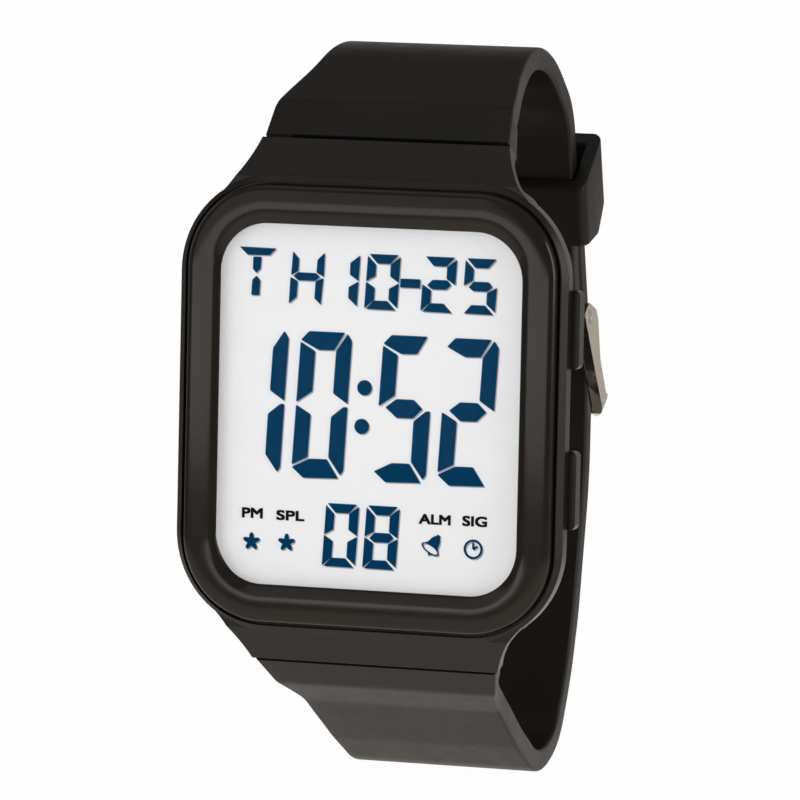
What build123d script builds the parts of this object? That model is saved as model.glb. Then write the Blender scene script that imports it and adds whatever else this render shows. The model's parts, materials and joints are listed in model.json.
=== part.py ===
from build123d import *
from math import atan2, cos, degrees, hypot, radians, sin, tan
import os

# A square digital wristwatch with its resin strap buckled into a loop.
# X runs towards 3 o'clock, Y from the dial towards the wrist, Z towards 12 o'clock.
# The origin is the centre of the case back's outer face. A depth is measured from the
# front of the bezel towards the wrist, so a point's Y is its depth less case_thickness.

# Case
case_thickness = 9.6
case_half_width = 19.1
case_half_length = 21.6
case_corner = 9.2
rim_depth = 0.7
rim_chamfer = 0.7
band_start_depth = 1.3
band_end_depth = 2.7
back_rim_depth = 9.3
back_inset = 2.0

# Bezel and crystal
window_inset_side = 4.24
window_inset_end = 4.53
window_corner_inset = 3.9
window_half_width = case_half_width - window_inset_side
window_half_length = case_half_length - window_inset_end
window_corner = case_corner - window_corner_inset
bezel_border_side = 3.1
bezel_border_end = 3.3
bezel_roll_drop = 0.95
bezel_roll_shares = [(0.54, 0.0), (0.34, 0.07), (0.15, 0.28), (0.035, 0.59), (0.0, 1.0)]
bezel_inner_slope = 0.75
bezel_inner_drop = 0.3
bezel_lip = 0.5
bezel_seat_depth = 1.9
bezel_seal_thickness = 0.2
bezel_groove = 0.3
crystal_overlap = 0.95
crystal_thickness = 1.0
glue_gap = 0.05

# Cavities in the case
upper_wall_side = 2.7
upper_wall_end = 3.6
upper_corner_inset = 3.0
upper_cavity_half_width = case_half_width - upper_wall_side
upper_cavity_half_length = case_half_length - upper_wall_end
upper_cavity_corner = case_corner - upper_corner_inset
lower_width_share = 0.7016
lower_wall_end = 5.6
lower_cavity_half_width = lower_width_share * case_half_width
lower_cavity_half_length = case_half_length - lower_wall_end
lower_cavity_cut = 6.0
corner_offset_share = 0.586
back_plate_inset = 3.9
back_corner_inset = 3.7
back_plate_half_width = case_half_width - back_plate_inset
back_plate_half_length = case_half_length - back_plate_inset
back_plate_corner = case_corner - back_corner_inset
back_plate_thickness = 1.0
back_plate_gap = 0.08
back_plate_edge = 0.25

# Back gasket and screws
gasket_offset = 0.3
gasket_width = 0.6
gasket_depth = 0.4
screw_inset = 3.4
screw_across = back_plate_half_width - screw_inset
screw_along = back_plate_half_length - screw_inset
screw_radius = 0.5
screw_head_radius = 0.95
screw_head_height = 0.45
screw_length = 2.6
screw_slot_width = 0.25
screw_slot_depth = 0.2
screw_gap = 0.06

# Display module
module_gap = 0.1
lcd_overlap_side = 0.44
lcd_overlap_end = 0.63
lcd_corner_growth = 0.3
lcd_half_width = window_half_width + lcd_overlap_side
lcd_half_length = window_half_length + lcd_overlap_end
lcd_corner = window_corner + lcd_corner_growth
lcd_plate = 0.55
lcd_ledge = 1.4
lightguide_inset_side = 1.1
lightguide_inset_end = 2.7
lightguide_half_width = lcd_half_width - lightguide_inset_side
lightguide_half_length = lcd_half_length - lightguide_inset_end
lightguide_thickness = 0.7
led_width = 3.0
led_height = 1.0
frame_inset = 0.3
frame_half_width = lcd_half_width - frame_inset
frame_half_length = lcd_half_length - frame_inset
frame_corner = lcd_corner - frame_inset
frame_thickness = 1.65
strip_width = 1.1
strip_end_inset = 4.8
strip_half_length = lcd_half_width - strip_end_inset
board_inset_end = 0.8
board_corner = 5.0
board_thickness = 0.7
chip_radius = 2.5
chip_height = 0.8
chip_along = 11.2
quartz_radius = 0.75
quartz_length = 5.0
quartz_along = 12.6
capacitor_length = 1.6
capacitor_width = 0.8
capacitor_height = 0.6
capacitor_spacing = 1.8
capacitor_along = 9.5
capacitor_edge_gap = 1.4
capacitor_count = 3
component_gap = 0.3
component_window_share = 0.582
component_window_length = 5.4

# Battery
cell_radius_share = 0.746
cell_radius = cell_radius_share * lower_cavity_half_width
cell_thickness = 1.6
cell_along = -3.6
cell_gap = 0.15
cell_lift = 0.4
cell_cap_step = 0.5
holder_thickness = 2.2
holder_edge_gap = 0.3
contact_thickness = 0.15
contact_width = 2.4
contact_length = 7.0
clamp_thickness = 0.2
clamp_width = 5.0
clamp_end_inset = 1.0
clamp_half_length = lower_cavity_half_width - clamp_end_inset

# Buzzer
buzzer_side_gap = 1.4
buzzer_radius = lower_cavity_half_width - buzzer_side_gap
buzzer_thickness = 0.25
buzzer_spring_wire = 0.14
buzzer_spring_radius = 0.55
buzzer_spring_turn_count = 4
buzzer_spring_share = 0.687
buzzer_spring_along = 6.6
buzzer_spring_hole = 0.9

# Buttons
button_length = 7.4
button_height = 1.45
button_front_depth = 2.65
button_proud = 0.75
button_body = 1.55
button_corner = 0.55
button_edge = 0.18
button_upper_along = 8.15
button_lower_along = -6.9
button_travel = 0.5
button_pocket_gap = 0.08
button_floor_gap = 0.05
stem_radius = 0.5
stem_gap = 0.05
stem_inside = 0.65
stem_end = upper_cavity_half_width - stem_inside
seal_radius = 0.85
seal_length = 0.5
seal_in_wall = 0.55
seal_across = upper_cavity_half_width + seal_in_wall
clip_radius = 1.25
clip_thickness = 0.2
clip_gap = 0.03
clip_opening = 0.7
switch_thickness = 0.12
switch_width = 1.6
switch_foot = 1.3
switch_gap = 0.05

# Shoulders and strap ends
seam_depth = 4.0
upper_shoulder_length = 3.4
lower_shoulder_length = 3.0
upper_seam_along = case_half_length + upper_shoulder_length
lower_seam_along = case_half_length + lower_shoulder_length
shoulder_start_depth = 1.35
shoulder_start_inset = 0.2
shoulder_root_inset = 2.4
shoulder_start_along = case_half_length - shoulder_start_inset
shoulder_root = case_half_length - shoulder_root_inset
shoulder_back_depth = 6.8
seam_width_share = 0.6387
seam_half_width = seam_width_share * case_half_width
flare_start_inset = 1.9
flare_start_drop = 3.4
flare_mid_growth = 1.25
flare_mid_rise = 0.5
flare_start_width = case_half_width - flare_start_inset
flare_start_along = case_half_length - flare_start_drop
flare_mid_width = seam_half_width + flare_mid_growth
flare_mid_along = case_half_length + flare_mid_rise
seam_gap = 0.12
shoulder_skin = 0.75
lug_width = 2.4
lug_half_gap = seam_half_width - lug_width
strap_root_gap = 0.2
bar_from_seam = 2.3
bar_below_surface = 2.3
knuckle_radius = 1.45
knuckle_gap = 0.2
bar_radius = 0.75
bar_gap = 0.05
bar_bore = 0.5
bar_end_gap = 0.45
bar_half_length = lug_half_gap - bar_end_gap
tip_radius = 0.4
tip_inside = 2.4
tip_shoulder_gap = 0.5
tip_in_lug = 1.2
tip_hole_in_lug = 1.5
tip_inner = lug_half_gap - tip_inside
tip_shoulder = lug_half_gap - tip_shoulder_gap
tip_outer = lug_half_gap + tip_in_lug
tip_hole_end = lug_half_gap + tip_hole_in_lug

# Strap run: the corners of its outer surface are shares of the loop's depth and, in front,
# of the rise from the seam to the loop's end, or else of the height above or below the
# middle; the bend at each is a share of the loop's depth
loop_depth = 44.0
loop_top = 35.8
loop_bottom = 37.72
upper_front_shares = [(0.143, 0.304), (0.517, 1.0)]
upper_back_share = 0.768
strap_upper_radius_shares = [0.09, 0.07, 0.33, 0.2]
lower_front_shares = [(0.211, 0.281), (0.295, 0.396), (0.611, 1.0)]
lower_back_shares = [(0.788, 0.949), (0.928, 0.681), (1.0, 0.268)]
strap_lower_radius_shares = [0.09, 0.115, 0.2, 0.2, 0.165, 0.5, 0.77, 0.41]
strap_seam_thickness = 2.7
strap_middle_thickness = 2.3
strap_back_thickness = 2.1
tail_thickness = 2.0
tail_gap = 0.15
tail_tip_height = 22.3
tail_tip_round = 6.0
back_run_inset = 9.1
back_run_depth = loop_depth - back_run_inset
back_run_height = 25.1
back_run_angle = 15.5
buckle_bar_height = 7.0
upper_width_shares = [(0.182, 0.938), (0.295, 0.857), (0.42, 0.811), (0.57, 0.775)]
lower_width_shares = [(0.155, 0.914), (0.216, 0.861), (0.325, 0.82), (0.5, 0.765)]
back_width_share = 0.7378
strap_back_half_width = back_width_share * seam_half_width
strap_back_inset = 11.5
strap_back_depth = loop_depth - strap_back_inset
strap_end_growth = 6.0
strap_end_depth = loop_depth + strap_end_growth
strap_reach = 2 * loop_bottom
hole_half_width = 2.3
hole_length = 3.4
hole_corner = 1.5
hole_pitch = 6.4
hole_count = 10

# Keeper
keeper_gap = 0.2
keeper_side_gap = 0.2
keeper_wall = 1.35
keeper_inner_wall = 1.1
keeper_outer_start = 1.4
keeper_outer_end = 7.9
keeper_inner_start = 4.9
keeper_inner_end = 10.9
keeper_lower_cut = 0.6
keeper_round = 0.8
keeper_inner_round = 0.3

# Buckle
buckle_bar_radius = 0.65
buckle_bar_gap = 0.05
buckle_reach = 11.2
buckle_angle = 34.8
buckle_side_gap = 0.15
arm_thickness = 1.1
arm_back = 1.3
arm_low = 1.15
arm_high = 2.15
arm_high_at = 1.5
arm_waist = 0.75
arm_waist_at = 6.0
crossbar_width = 2.2
crossbar_thickness = 1.4
crossbar_gap = 0.15
crossbar_round = 0.5
arm_end_low = 1.0
arm_end_high = 0.55
buckle_corner = 1.7
arm_round = 0.6
tongue_half_width = 1.8
tongue_thickness = 1.0
tongue_eye_radius = 1.3
tongue_slot_gap = 0.25
tongue_slot_back = 2.2
tongue_crown_gap = 0.12
tongue_cross_at = 6.6
tongue_under = 1.15
tongue_tip_overhang = 0.9
tongue_bend = 0.7

overrun = 1.0


def at_depth(depth):
    """Return the Y of a depth measured from the front of the bezel."""
    return depth - case_thickness


def prism(outline, near, far):
    """Extrude a front-view outline from one depth to another, towards the wrist."""
    return extrude(Plane.XZ.offset(-at_depth(near)) * outline, amount=near - far)


def rounded_slab(half_width, half_length, corner, near, far):
    """Return a rounded rectangular plate between two depths."""
    return prism(RectangleRounded(2 * half_width, 2 * half_length, corner), near, far)


def frustum(half_width, half_length, corner, near, far, near_inset, far_inset):
    """Return a rounded rectangular body whose outline is drawn in at each end."""
    width = 2 * (half_width - near_inset)
    length = 2 * (half_length - near_inset)
    outline = RectangleRounded(width, length, corner - near_inset)
    plane = Plane(origin=(0, at_depth(near), 0), x_dir=(1, 0, 0), z_dir=(0, 1, 0))
    slope = degrees(atan2(far_inset - near_inset, far - near))
    return extrude(plane * outline, amount=far - near, taper=slope)


def cut_corner_outline(half_width, half_length, cut):
    """Return a rectangle whose four corners are cut at 45 degrees."""
    points = [
        (half_width, half_length - cut), (half_width - cut, half_length),
        (cut - half_width, half_length), (-half_width, half_length - cut),
        (-half_width, cut - half_length), (cut - half_width, -half_length),
        (half_width - cut, -half_length), (half_width, cut - half_length),
    ]
    return make_face(Polyline(*points, close=True))


def side_plane(depth, height, along_depth, along_height):
    """Return a plane seen along X, its own x pointing along the given direction."""
    return Plane(origin=(0, at_depth(depth), height), x_dir=(0, along_depth, along_height), z_dir=(1, 0, 0))


def across(outline, half_width):
    """Extrude a side-view outline by the same amount to both sides."""
    return extrude(outline, amount=half_width, both=True)


def pin(x_start, x_end, depth, height, radius):
    """Return a cylinder along X between two places."""
    start = Plane(origin=(x_start, at_depth(depth), height), x_dir=(0, 1, 0), z_dir=(1, 0, 0))
    return extrude(start * Circle(radius), amount=x_end - x_start)


def unit(step_depth, step_height):
    """Return the direction of a step as a pair of unit length."""
    size = hypot(step_depth, step_height)
    return step_depth / size, step_height / size


def inner_corners(points, thicknesses):
    """Offset each run of an outline by its thickness and return where the runs meet."""
    runs = []
    for first, second, thickness in zip(points[:-1], points[1:], thicknesses):
        step = unit(second[0] - first[0], second[1] - first[1])
        normal = (step[1], -step[0])
        start = (first[0] + normal[0] * thickness, first[1] + normal[1] * thickness)
        end = (second[0] + normal[0] * thickness, second[1] + normal[1] * thickness)
        runs.append((start, end, step))
    corners = [runs[0][0]]
    for (start, _, step), (other, _, turn) in zip(runs[:-1], runs[1:]):
        cross = step[0] * turn[1] - step[1] * turn[0]
        reach = ((other[0] - start[0]) * turn[1] - (other[1] - start[1]) * turn[0]) / cross
        corners.append((start[0] + reach * step[0], start[1] + reach * step[1]))
    corners.append(runs[-1][1])
    return corners


def bend_radii(points, radii, thicknesses):
    """Return the inner radius at each bend: smaller on the inside of a turn, larger outside."""
    inner = []
    for index, radius in enumerate(radii):
        before, corner, after = points[index:index + 3]
        first = unit(corner[0] - before[0], corner[1] - before[1])
        second = unit(after[0] - corner[0], after[1] - corner[1])
        turn = first[0] * second[1] - first[1] * second[0]
        change = max(thicknesses[index], thicknesses[index + 1])
        inner.append(max(radius - change, tail_gap) if turn < 0 else radius + change)
    return inner


def strap_band(points, radii, thicknesses):
    """Return the strap's side-view band, full width, between its outer and inner runs."""
    inside = inner_corners(points, thicknesses)
    outer = FilletPolyline(*points, radius=radii)
    inner = FilletPolyline(*inside, radius=bend_radii(points, radii, thicknesses))
    start = Line(points[0], inside[0])
    end = Line(points[-1], inside[-1])
    section = make_face(Plane.YZ * (outer + inner + start + end))
    return across(section, case_half_width)


def strap_points(*places):
    """Turn depth and height pairs into side-view sketch points."""
    return [(at_depth(depth), height) for depth, height in places]


def width_limit(seam_width, shares):
    """Return the space within the strap's plan outline, narrow towards the back."""
    sides = []
    for side in (1, -1):
        places = [(seam_depth, seam_width)]
        for depth_share, width_share in shares:
            places.append((depth_share * loop_depth, width_share * seam_half_width))
        places.append((strap_back_depth, strap_back_half_width))
        sides.append(Spline(*[(side * width, at_depth(depth)) for depth, width in places]))
    front = at_depth(0) - overrun
    back = at_depth(strap_end_depth)
    right, left = sides
    narrow = strap_back_half_width
    outline = [right, left]
    outline.append(Polyline(right @ 1, (narrow, back), (-narrow, back), left @ 1))
    outline.append(Polyline(right @ 0, (seam_width, front), (-seam_width, front), left @ 0))
    return extrude(make_face(outline), amount=strap_reach, both=True)


def seam_plane(seam_height):
    """Return the plane at the upper seam: x leaves the case along the surface, y points out."""
    step = unit(seam_depth - shoulder_start_depth, seam_height - shoulder_start_along)
    return side_plane(seam_depth, seam_height, step[0], step[1])


def seam_point(seam_height, along, outward):
    """Return the depth and height of a point given in the seam plane."""
    step = unit(seam_depth - shoulder_start_depth, seam_height - shoulder_start_along)
    depth = seam_depth + along * step[0] - outward * step[1]
    return depth, seam_height + along * step[1] + outward * step[0]


def seam_block(seam_height, along_start, along_end, low, high, half_width):
    """Return a block set out in the seam plane."""
    middle = Pos((along_start + along_end) / 2, (low + high) / 2)
    outline = middle * Rectangle(along_end - along_start, high - low)
    return across(seam_plane(seam_height) * outline, half_width)


def shoulder_slab(seam_height, back_depth, half_width):
    """Return a slab under the shoulder's sloping surface, as deep as given where it meets the case."""
    points = strap_points(
        (shoulder_start_depth, shoulder_root), (shoulder_start_depth, shoulder_start_along),
        (seam_depth, seam_height), seam_point(seam_height, 0, -strap_seam_thickness),
        (back_depth, shoulder_root),
    )
    return across(make_face(Plane.YZ * Polyline(*points, close=True)), half_width)


def shoulder(seam_height):
    """Return the sloping shoulder at 12 o'clock: deep between the lugs, thin where it flares."""
    body = shoulder_slab(seam_height, shoulder_back_depth, seam_half_width)
    body += shoulder_slab(seam_height, band_end_depth, case_half_width)
    flares = []
    for side in (1, -1):
        start = (side * flare_start_width, flare_start_along)
        middle = (side * flare_mid_width, flare_mid_along)
        flares.append(Spline(start, middle, (side * seam_half_width, seam_height)))
    right, left = flares
    top = seam_height + overrun
    outline = [right, left, Polyline(right @ 1, (seam_half_width, top), (-seam_half_width, top), left @ 1)]
    outline.append(Line(right @ 0, left @ 0))
    limit = prism(make_face(outline), 0, case_thickness)
    return body & limit


def shoulder_pocket(seam_height):
    """Return the space under a shoulder that takes the strap's root and its bar's tips."""
    centre = seam_point(seam_height, -bar_from_seam, -bar_below_surface)
    swing = knuckle_radius + knuckle_gap
    room = seam_block(
        seam_height, -bar_from_seam, overrun, -bar_below_surface - swing, -shoulder_skin, lug_half_gap
    )
    barrel = pin(-lug_half_gap, lug_half_gap, centre[0], centre[1], swing)
    tips = pin(-tip_hole_end, tip_hole_end, centre[0], centre[1], tip_radius + bar_gap)
    return room + barrel + tips


def case_body():
    """Return the case with its rim, band, tapered back, shoulders and cavities."""
    sizes = (case_half_width, case_half_length, case_corner)
    body = frustum(*sizes, rim_depth, band_start_depth, rim_chamfer, 0)
    body += rounded_slab(*sizes, band_start_depth, band_end_depth)
    body += frustum(*sizes, band_end_depth, back_rim_depth, 0, back_inset)
    body += shoulder(upper_seam_along) + mirror(shoulder(lower_seam_along), about=Plane.XY)
    body -= shoulder_pocket(upper_seam_along)
    body -= mirror(shoulder_pocket(lower_seam_along), about=Plane.XY)
    seat_half_width = window_half_width + bezel_border_side + bezel_groove
    seat_half_length = window_half_length + bezel_border_end + bezel_groove
    seat_corner = window_corner + bezel_border_side + bezel_groove
    body -= rounded_slab(seat_half_width, seat_half_length, seat_corner, 0, bezel_seat_depth)
    body -= rounded_slab(
        upper_cavity_half_width, upper_cavity_half_length, upper_cavity_corner, 0, board_back()
    )
    lower = cut_corner_outline(lower_cavity_half_width, lower_cavity_half_length, lower_cavity_cut)
    body -= prism(lower, bezel_seat_depth, case_thickness)
    back_seat = case_thickness - back_plate_thickness
    body -= rounded_slab(
        back_plate_half_width, back_plate_half_length, back_plate_corner, back_seat, case_thickness
    )
    body -= gasket_ring(back_seat - gasket_depth, back_seat)
    for x, z in screw_places():
        body -= screw_bore(x, z, screw_radius, back_seat - screw_length, back_seat)
    for side, along in button_places().values():
        body -= button_opening(side, along)
    return body


def gasket_ring(near, far):
    """Return the ring round the lower cavity that the back gasket fills."""
    outlines = []
    for grow in (gasket_offset + gasket_width, gasket_offset):
        cut = lower_cavity_cut + grow * corner_offset_share
        outlines.append(
            cut_corner_outline(lower_cavity_half_width + grow, lower_cavity_half_length + grow, cut)
        )
    return prism(outlines[0], near, far) - prism(outlines[1], near, far)


def screw_places():
    """Return the four places of the back screws in the front view."""
    return [(x * screw_across, z * screw_along) for x in (1, -1) for z in (1, -1)]


def screw_bore(x, z, radius, near, far):
    """Return a round hole or pin along the depth at one screw's place."""
    return prism(Pos(x, z) * Circle(radius), near, far)


def bezel():
    """Return the glossy bezel, rolled off towards its outer edge, with the crystal's seat behind."""
    outer_width = window_half_width + bezel_border_side
    outer_length = window_half_length + bezel_border_end
    outer_corner = window_corner + bezel_border_side
    low_edge = bezel_seat_depth - bezel_seal_thickness
    body = rounded_slab(outer_width, outer_length, outer_corner, bezel_roll_drop, low_edge)
    for (near_share, near), (far_share, far) in zip(bezel_roll_shares[:-1], bezel_roll_shares[1:]):
        insets = (near_share * bezel_border_side, far_share * bezel_border_side)
        levels = (near * bezel_roll_drop, far * bezel_roll_drop)
        body += frustum(outer_width, outer_length, outer_corner, *levels, *insets)
    slope = bezel_inner_slope
    opening = (window_half_width + slope, window_half_length + slope, window_corner + slope)
    body -= frustum(*opening, 0, bezel_inner_drop, 0, slope)
    body -= rounded_slab(window_half_width, window_half_length, window_corner, -overrun, bezel_seat_depth)
    seat = crystal_overlap + glue_gap
    body -= rounded_slab(
        window_half_width + seat, window_half_length + seat, window_corner + seat, bezel_lip, bezel_seat_depth
    )
    return body


def bezel_seal():
    """Return the thin seal between the bezel and the ledge of the case."""
    outer_width = window_half_width + bezel_border_side
    outer_length = window_half_length + bezel_border_end
    low_edge = bezel_seat_depth - bezel_seal_thickness
    ring = rounded_slab(
        outer_width, outer_length, window_corner + bezel_border_side, low_edge, bezel_seat_depth
    )
    return ring - rounded_slab(
        upper_cavity_half_width, upper_cavity_half_length, upper_cavity_corner, low_edge, bezel_seat_depth
    )


def crystal():
    """Return the clear plate behind the bezel's lip."""
    grow = crystal_overlap
    return rounded_slab(
        window_half_width + grow, window_half_length + grow, window_corner + grow,
        bezel_lip, bezel_lip + crystal_thickness,
    )


def lcd_front():
    """Return the depth of the display's front face."""
    return bezel_lip + crystal_thickness + module_gap


def lightguide_front():
    """Return the depth of the lightguide's front face."""
    return lcd_front() + 2 * lcd_plate + glue_gap


def frame_back():
    """Return the depth of the module frame's back face, on which the board lies."""
    return lightguide_front() + frame_thickness


def board_back():
    """Return the depth of the circuit board's back face."""
    return frame_back() + board_thickness


def lcd_glass():
    """Return the display: two glass plates, the rear one short of the front at both ends."""
    front = lcd_front()
    plate = rounded_slab(lcd_half_width, lcd_half_length, lcd_corner, front, front + lcd_plate)
    rear = rounded_slab(
        lcd_half_width, lcd_half_length - lcd_ledge, lcd_corner, front + lcd_plate, front + 2 * lcd_plate
    )
    return plate + rear


def lightguide():
    """Return the pale plate behind the display, notched for its lamp."""
    front = lightguide_front()
    body = rounded_slab(
        lightguide_half_width, lightguide_half_length, frame_corner, front, front + lightguide_thickness
    )
    room = Rectangle(2 * (led_height + module_gap), led_width + 2 * module_gap)
    notch = Pos(lightguide_half_width, 0) * room
    return body - prism(notch, front, front + lightguide_thickness)


def backlight_led():
    """Return the small lamp at the lightguide's right edge."""
    front = lightguide_front()
    outline = Pos(lightguide_half_width - led_height / 2, 0) * Rectangle(led_height, led_width)
    return prism(outline, front, front + lightguide_thickness)


def contact_strips():
    """Return the two soft strips that join the display's ledges to the circuit board."""
    strips = []
    place = lcd_half_length - lcd_ledge / 2
    for end in (1, -1):
        outline = Pos(0, end * place) * Rectangle(2 * strip_half_length, strip_width)
        strips.append(prism(outline, lcd_front() + lcd_plate, frame_back()))
    return Compound(children=strips)


def module_frame():
    """Return the plastic frame round the lightguide, slotted for the contact strips."""
    front = lightguide_front()
    body = rounded_slab(frame_half_width, frame_half_length, frame_corner, front, frame_back())
    room = module_gap
    guide = (lightguide_half_width + room, lightguide_half_length + room, frame_corner)
    body -= rounded_slab(*guide, front, front + lightguide_thickness)
    place = lcd_half_length - lcd_ledge / 2
    for end in (1, -1):
        slot = Pos(0, end * place) * Rectangle(2 * (strip_half_length + room), strip_width + 2 * room)
        body -= prism(slot, front, frame_back())
    notch_depth = frame_half_width - (switch_face() - switch_foot - room)
    for side, along in button_places().values():
        notch = Pos(side * frame_half_width, along) * Rectangle(2 * notch_depth, switch_width + 2 * room)
        body -= prism(notch, front, frame_back())
    return body


def circuit_board():
    """Return the circuit board behind the module frame."""
    half_length = frame_half_length - board_inset_end
    return rounded_slab(frame_half_width, half_length, board_corner, frame_back(), board_back())


def component_window():
    """Return half the width of the holder's window over the components."""
    return component_window_share * lower_cavity_half_width


def chip_cover():
    """Return the round resin drop over the chip."""
    across_place = chip_radius + component_gap - component_window()
    body = screw_bore(across_place, chip_along, chip_radius, board_back(), board_back() + chip_height)
    return chamfer(body.edges().group_by(Axis.Y)[-1], chip_height / 2)


def quartz_can():
    """Return the small round can of the quartz crystal, lying on the board."""
    end = component_window() - component_gap
    return pin(end - quartz_length, end, board_back() + quartz_radius, quartz_along, quartz_radius)


def capacitors():
    """Return the row of small square capacitors on the board."""
    pieces = []
    last = component_window() - capacitor_edge_gap - capacitor_width / 2
    for place in range(capacitor_count):
        centre = Pos(last - place * capacitor_spacing, capacitor_along)
        outline = centre * Rectangle(capacitor_width, capacitor_length)
        pieces.append(prism(outline, board_back(), board_back() + capacitor_height))
    return Compound(children=pieces)


def battery_holder():
    """Return the plastic holder behind the board, open for the cell and the components."""
    front = board_back()
    back = front + holder_thickness
    half_width = lower_cavity_half_width - holder_edge_gap
    half_length = lower_cavity_half_length - holder_edge_gap
    outline = cut_corner_outline(half_width, half_length, lower_cavity_cut)
    body = prism(outline, front, back)
    body -= screw_bore(0, cell_along, cell_radius + cell_gap, front, back)
    window = Pos(0, chip_along)
    body -= prism(window * Rectangle(2 * component_window(), component_window_length), front, back)
    return body - screw_bore(buzzer_spring_across(), buzzer_spring_along, buzzer_spring_hole, front, back)


def buzzer_spring_across():
    """Return how far left of the middle the sounder's spring stands."""
    return -buzzer_spring_share * lower_cavity_half_width


def coin_cell():
    """Return the coin cell with its smaller negative face towards the board."""
    front = board_back() + cell_lift
    step = front + cell_thickness - 2 * cell_cap_step
    cap = screw_bore(0, cell_along, cell_radius - cell_cap_step, front, step)
    return cap + screw_bore(0, cell_along, cell_radius, step, front + cell_thickness)


def battery_contact():
    """Return the bent leaf under the cell: a foot on the board and a raised finger."""
    low = board_back()
    high = low + cell_lift
    half = contact_length / 2
    skin = contact_thickness
    points = strap_points(
        (low, cell_along - half), (low, cell_along), (high - skin, cell_along + half / 2),
        (high - skin, cell_along + half), (high, cell_along + half), (high, cell_along + half / 2 - skin),
        (low + skin, cell_along - skin), (low + skin, cell_along - half),
    )
    return across(make_face(Plane.YZ * Polyline(*points, close=True)), contact_width / 2)


def battery_clamp():
    """Return the steel strap that holds the cell in the holder."""
    front = board_back() + holder_thickness
    outline = Pos(0, cell_along) * SlotOverall(2 * clamp_half_length, clamp_width)
    return prism(outline, front, front + clamp_thickness)


def buzzer_spring():
    """Return the small coil from the board to the buzzer's disc, one unbroken wire."""
    start = board_back() + buzzer_spring_wire
    end = buzzer_front() - buzzer_spring_wire
    length = end - start
    path = Helix(pitch=length / buzzer_spring_turn_count, height=length, radius=buzzer_spring_radius)
    wire_plane = Plane(origin=path @ 0, z_dir=path % 0)
    wire = sweep(wire_plane * RegularPolygon(buzzer_spring_wire, 4), path=path)
    turned = Rot(-90, 0, 0) * wire
    return Pos(buzzer_spring_across(), at_depth(start), buzzer_spring_along) * turned


def buzzer_front():
    """Return the depth of the buzzer disc's front face."""
    return case_thickness - back_plate_thickness - buzzer_thickness


def buzzer_disc():
    """Return the thin sounder disc on the inside of the case back."""
    return prism(Circle(buzzer_radius), buzzer_front(), buzzer_front() + buzzer_thickness)


def case_back():
    """Return the steel back plate with its four countersunk screw places."""
    front = case_thickness - back_plate_thickness
    gap = back_plate_gap
    sizes = (back_plate_half_width - gap, back_plate_half_length - gap, back_plate_corner - gap)
    body = rounded_slab(*sizes, front, case_thickness)
    body = chamfer(body.edges().group_by(Axis.Y)[-1], back_plate_edge)
    for x, z in screw_places():
        body -= screw_bore(x, z, screw_radius + screw_gap, front, case_thickness)
        sink = case_thickness - screw_head_height
        body -= screw_bore(x, z, screw_head_radius + screw_gap, sink, case_thickness)
    return body


def back_screws():
    """Return the four small slotted screws."""
    screws = []
    seat = case_thickness - screw_head_height
    back_seat = case_thickness - back_plate_thickness
    for x, z in screw_places():
        head = screw_bore(x, z, screw_head_radius, seat, case_thickness)
        slot = Pos(x, z) * Rectangle(2 * screw_head_radius, screw_slot_width)
        head -= prism(slot, case_thickness - screw_slot_depth, case_thickness)
        shank = screw_bore(x, z, screw_radius - screw_gap, back_seat - screw_length + screw_gap, seat)
        screws.append(head + shank)
    return Compound(children=screws)


def button_places():
    """Return the side and the height of each of the four buttons by name."""
    places = {}
    for side_name, side in (("right", 1), ("left", -1)):
        places["upper_" + side_name] = (side, button_upper_along)
        places["lower_" + side_name] = (side, button_lower_along)
    return places


def button_axis_depth():
    """Return the depth of the buttons' stems."""
    return button_front_depth + button_height / 2


def button_block(side, along, inner, outer, grow):
    """Return the button's rounded block between two distances from the middle plane."""
    height = button_height + 2 * grow
    length = button_length + 2 * grow
    origin = (side * inner, at_depth(button_axis_depth()), along)
    plane = Plane(origin=origin, x_dir=(0, 1, 0), z_dir=(side, 0, 0))
    outline = cut_corner_outline(height / 2, length / 2, button_edge)
    return extrude(plane * outline, amount=outer - inner)


def button_opening(side, along):
    """Return the pocket, stem bore and seal bore of one button in the case wall."""
    outer = case_half_width + button_proud
    floor = outer - button_body - button_travel - button_floor_gap
    pocket = button_block(side, along, floor, outer, button_pocket_gap)
    depth = button_axis_depth()
    bore = pin(side * (upper_cavity_half_width - overrun), side * outer, depth, along, stem_radius + stem_gap)
    seal_room = seal_radius + stem_gap
    seal_end = seal_across + seal_length / 2 + stem_gap
    bore += pin(side * (upper_cavity_half_width - overrun), side * seal_end, depth, along, seal_room)
    return pocket + bore


def button(side, along):
    """Return one long low button with its stem."""
    outer = case_half_width + button_proud
    body = button_block(side, along, outer - button_body, outer, 0)
    rounded = Pos(0, along) * RectangleRounded(2 * outer, button_length, button_corner)
    body &= prism(rounded, button_front_depth, button_front_depth + button_height)
    depth = button_axis_depth()
    groove_start = seal_across - seal_length / 2
    stem = pin(side * stem_end, side * (outer - button_body), depth, along, stem_radius)
    neck = pin(side * groove_start, side * (groove_start + seal_length), depth, along, stem_radius)
    neck -= pin(side * groove_start, side * (groove_start + seal_length), depth, along, stem_radius / 2)
    clip_start = upper_cavity_half_width - clip_gap - clip_thickness
    groove = pin(side * clip_start, side * (clip_start + clip_thickness), depth, along, stem_radius)
    groove -= pin(side * clip_start, side * (clip_start + clip_thickness), depth, along, stem_radius / 2)
    return body + (stem - neck - groove)


def button_seal(side, along):
    """Return the soft ring in the groove of one button's stem."""
    start = side * (seal_across - seal_length / 2)
    end = side * (seal_across + seal_length / 2)
    depth = button_axis_depth()
    return pin(start, end, depth, along, seal_radius) - pin(start, end, depth, along, stem_radius / 2)


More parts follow.
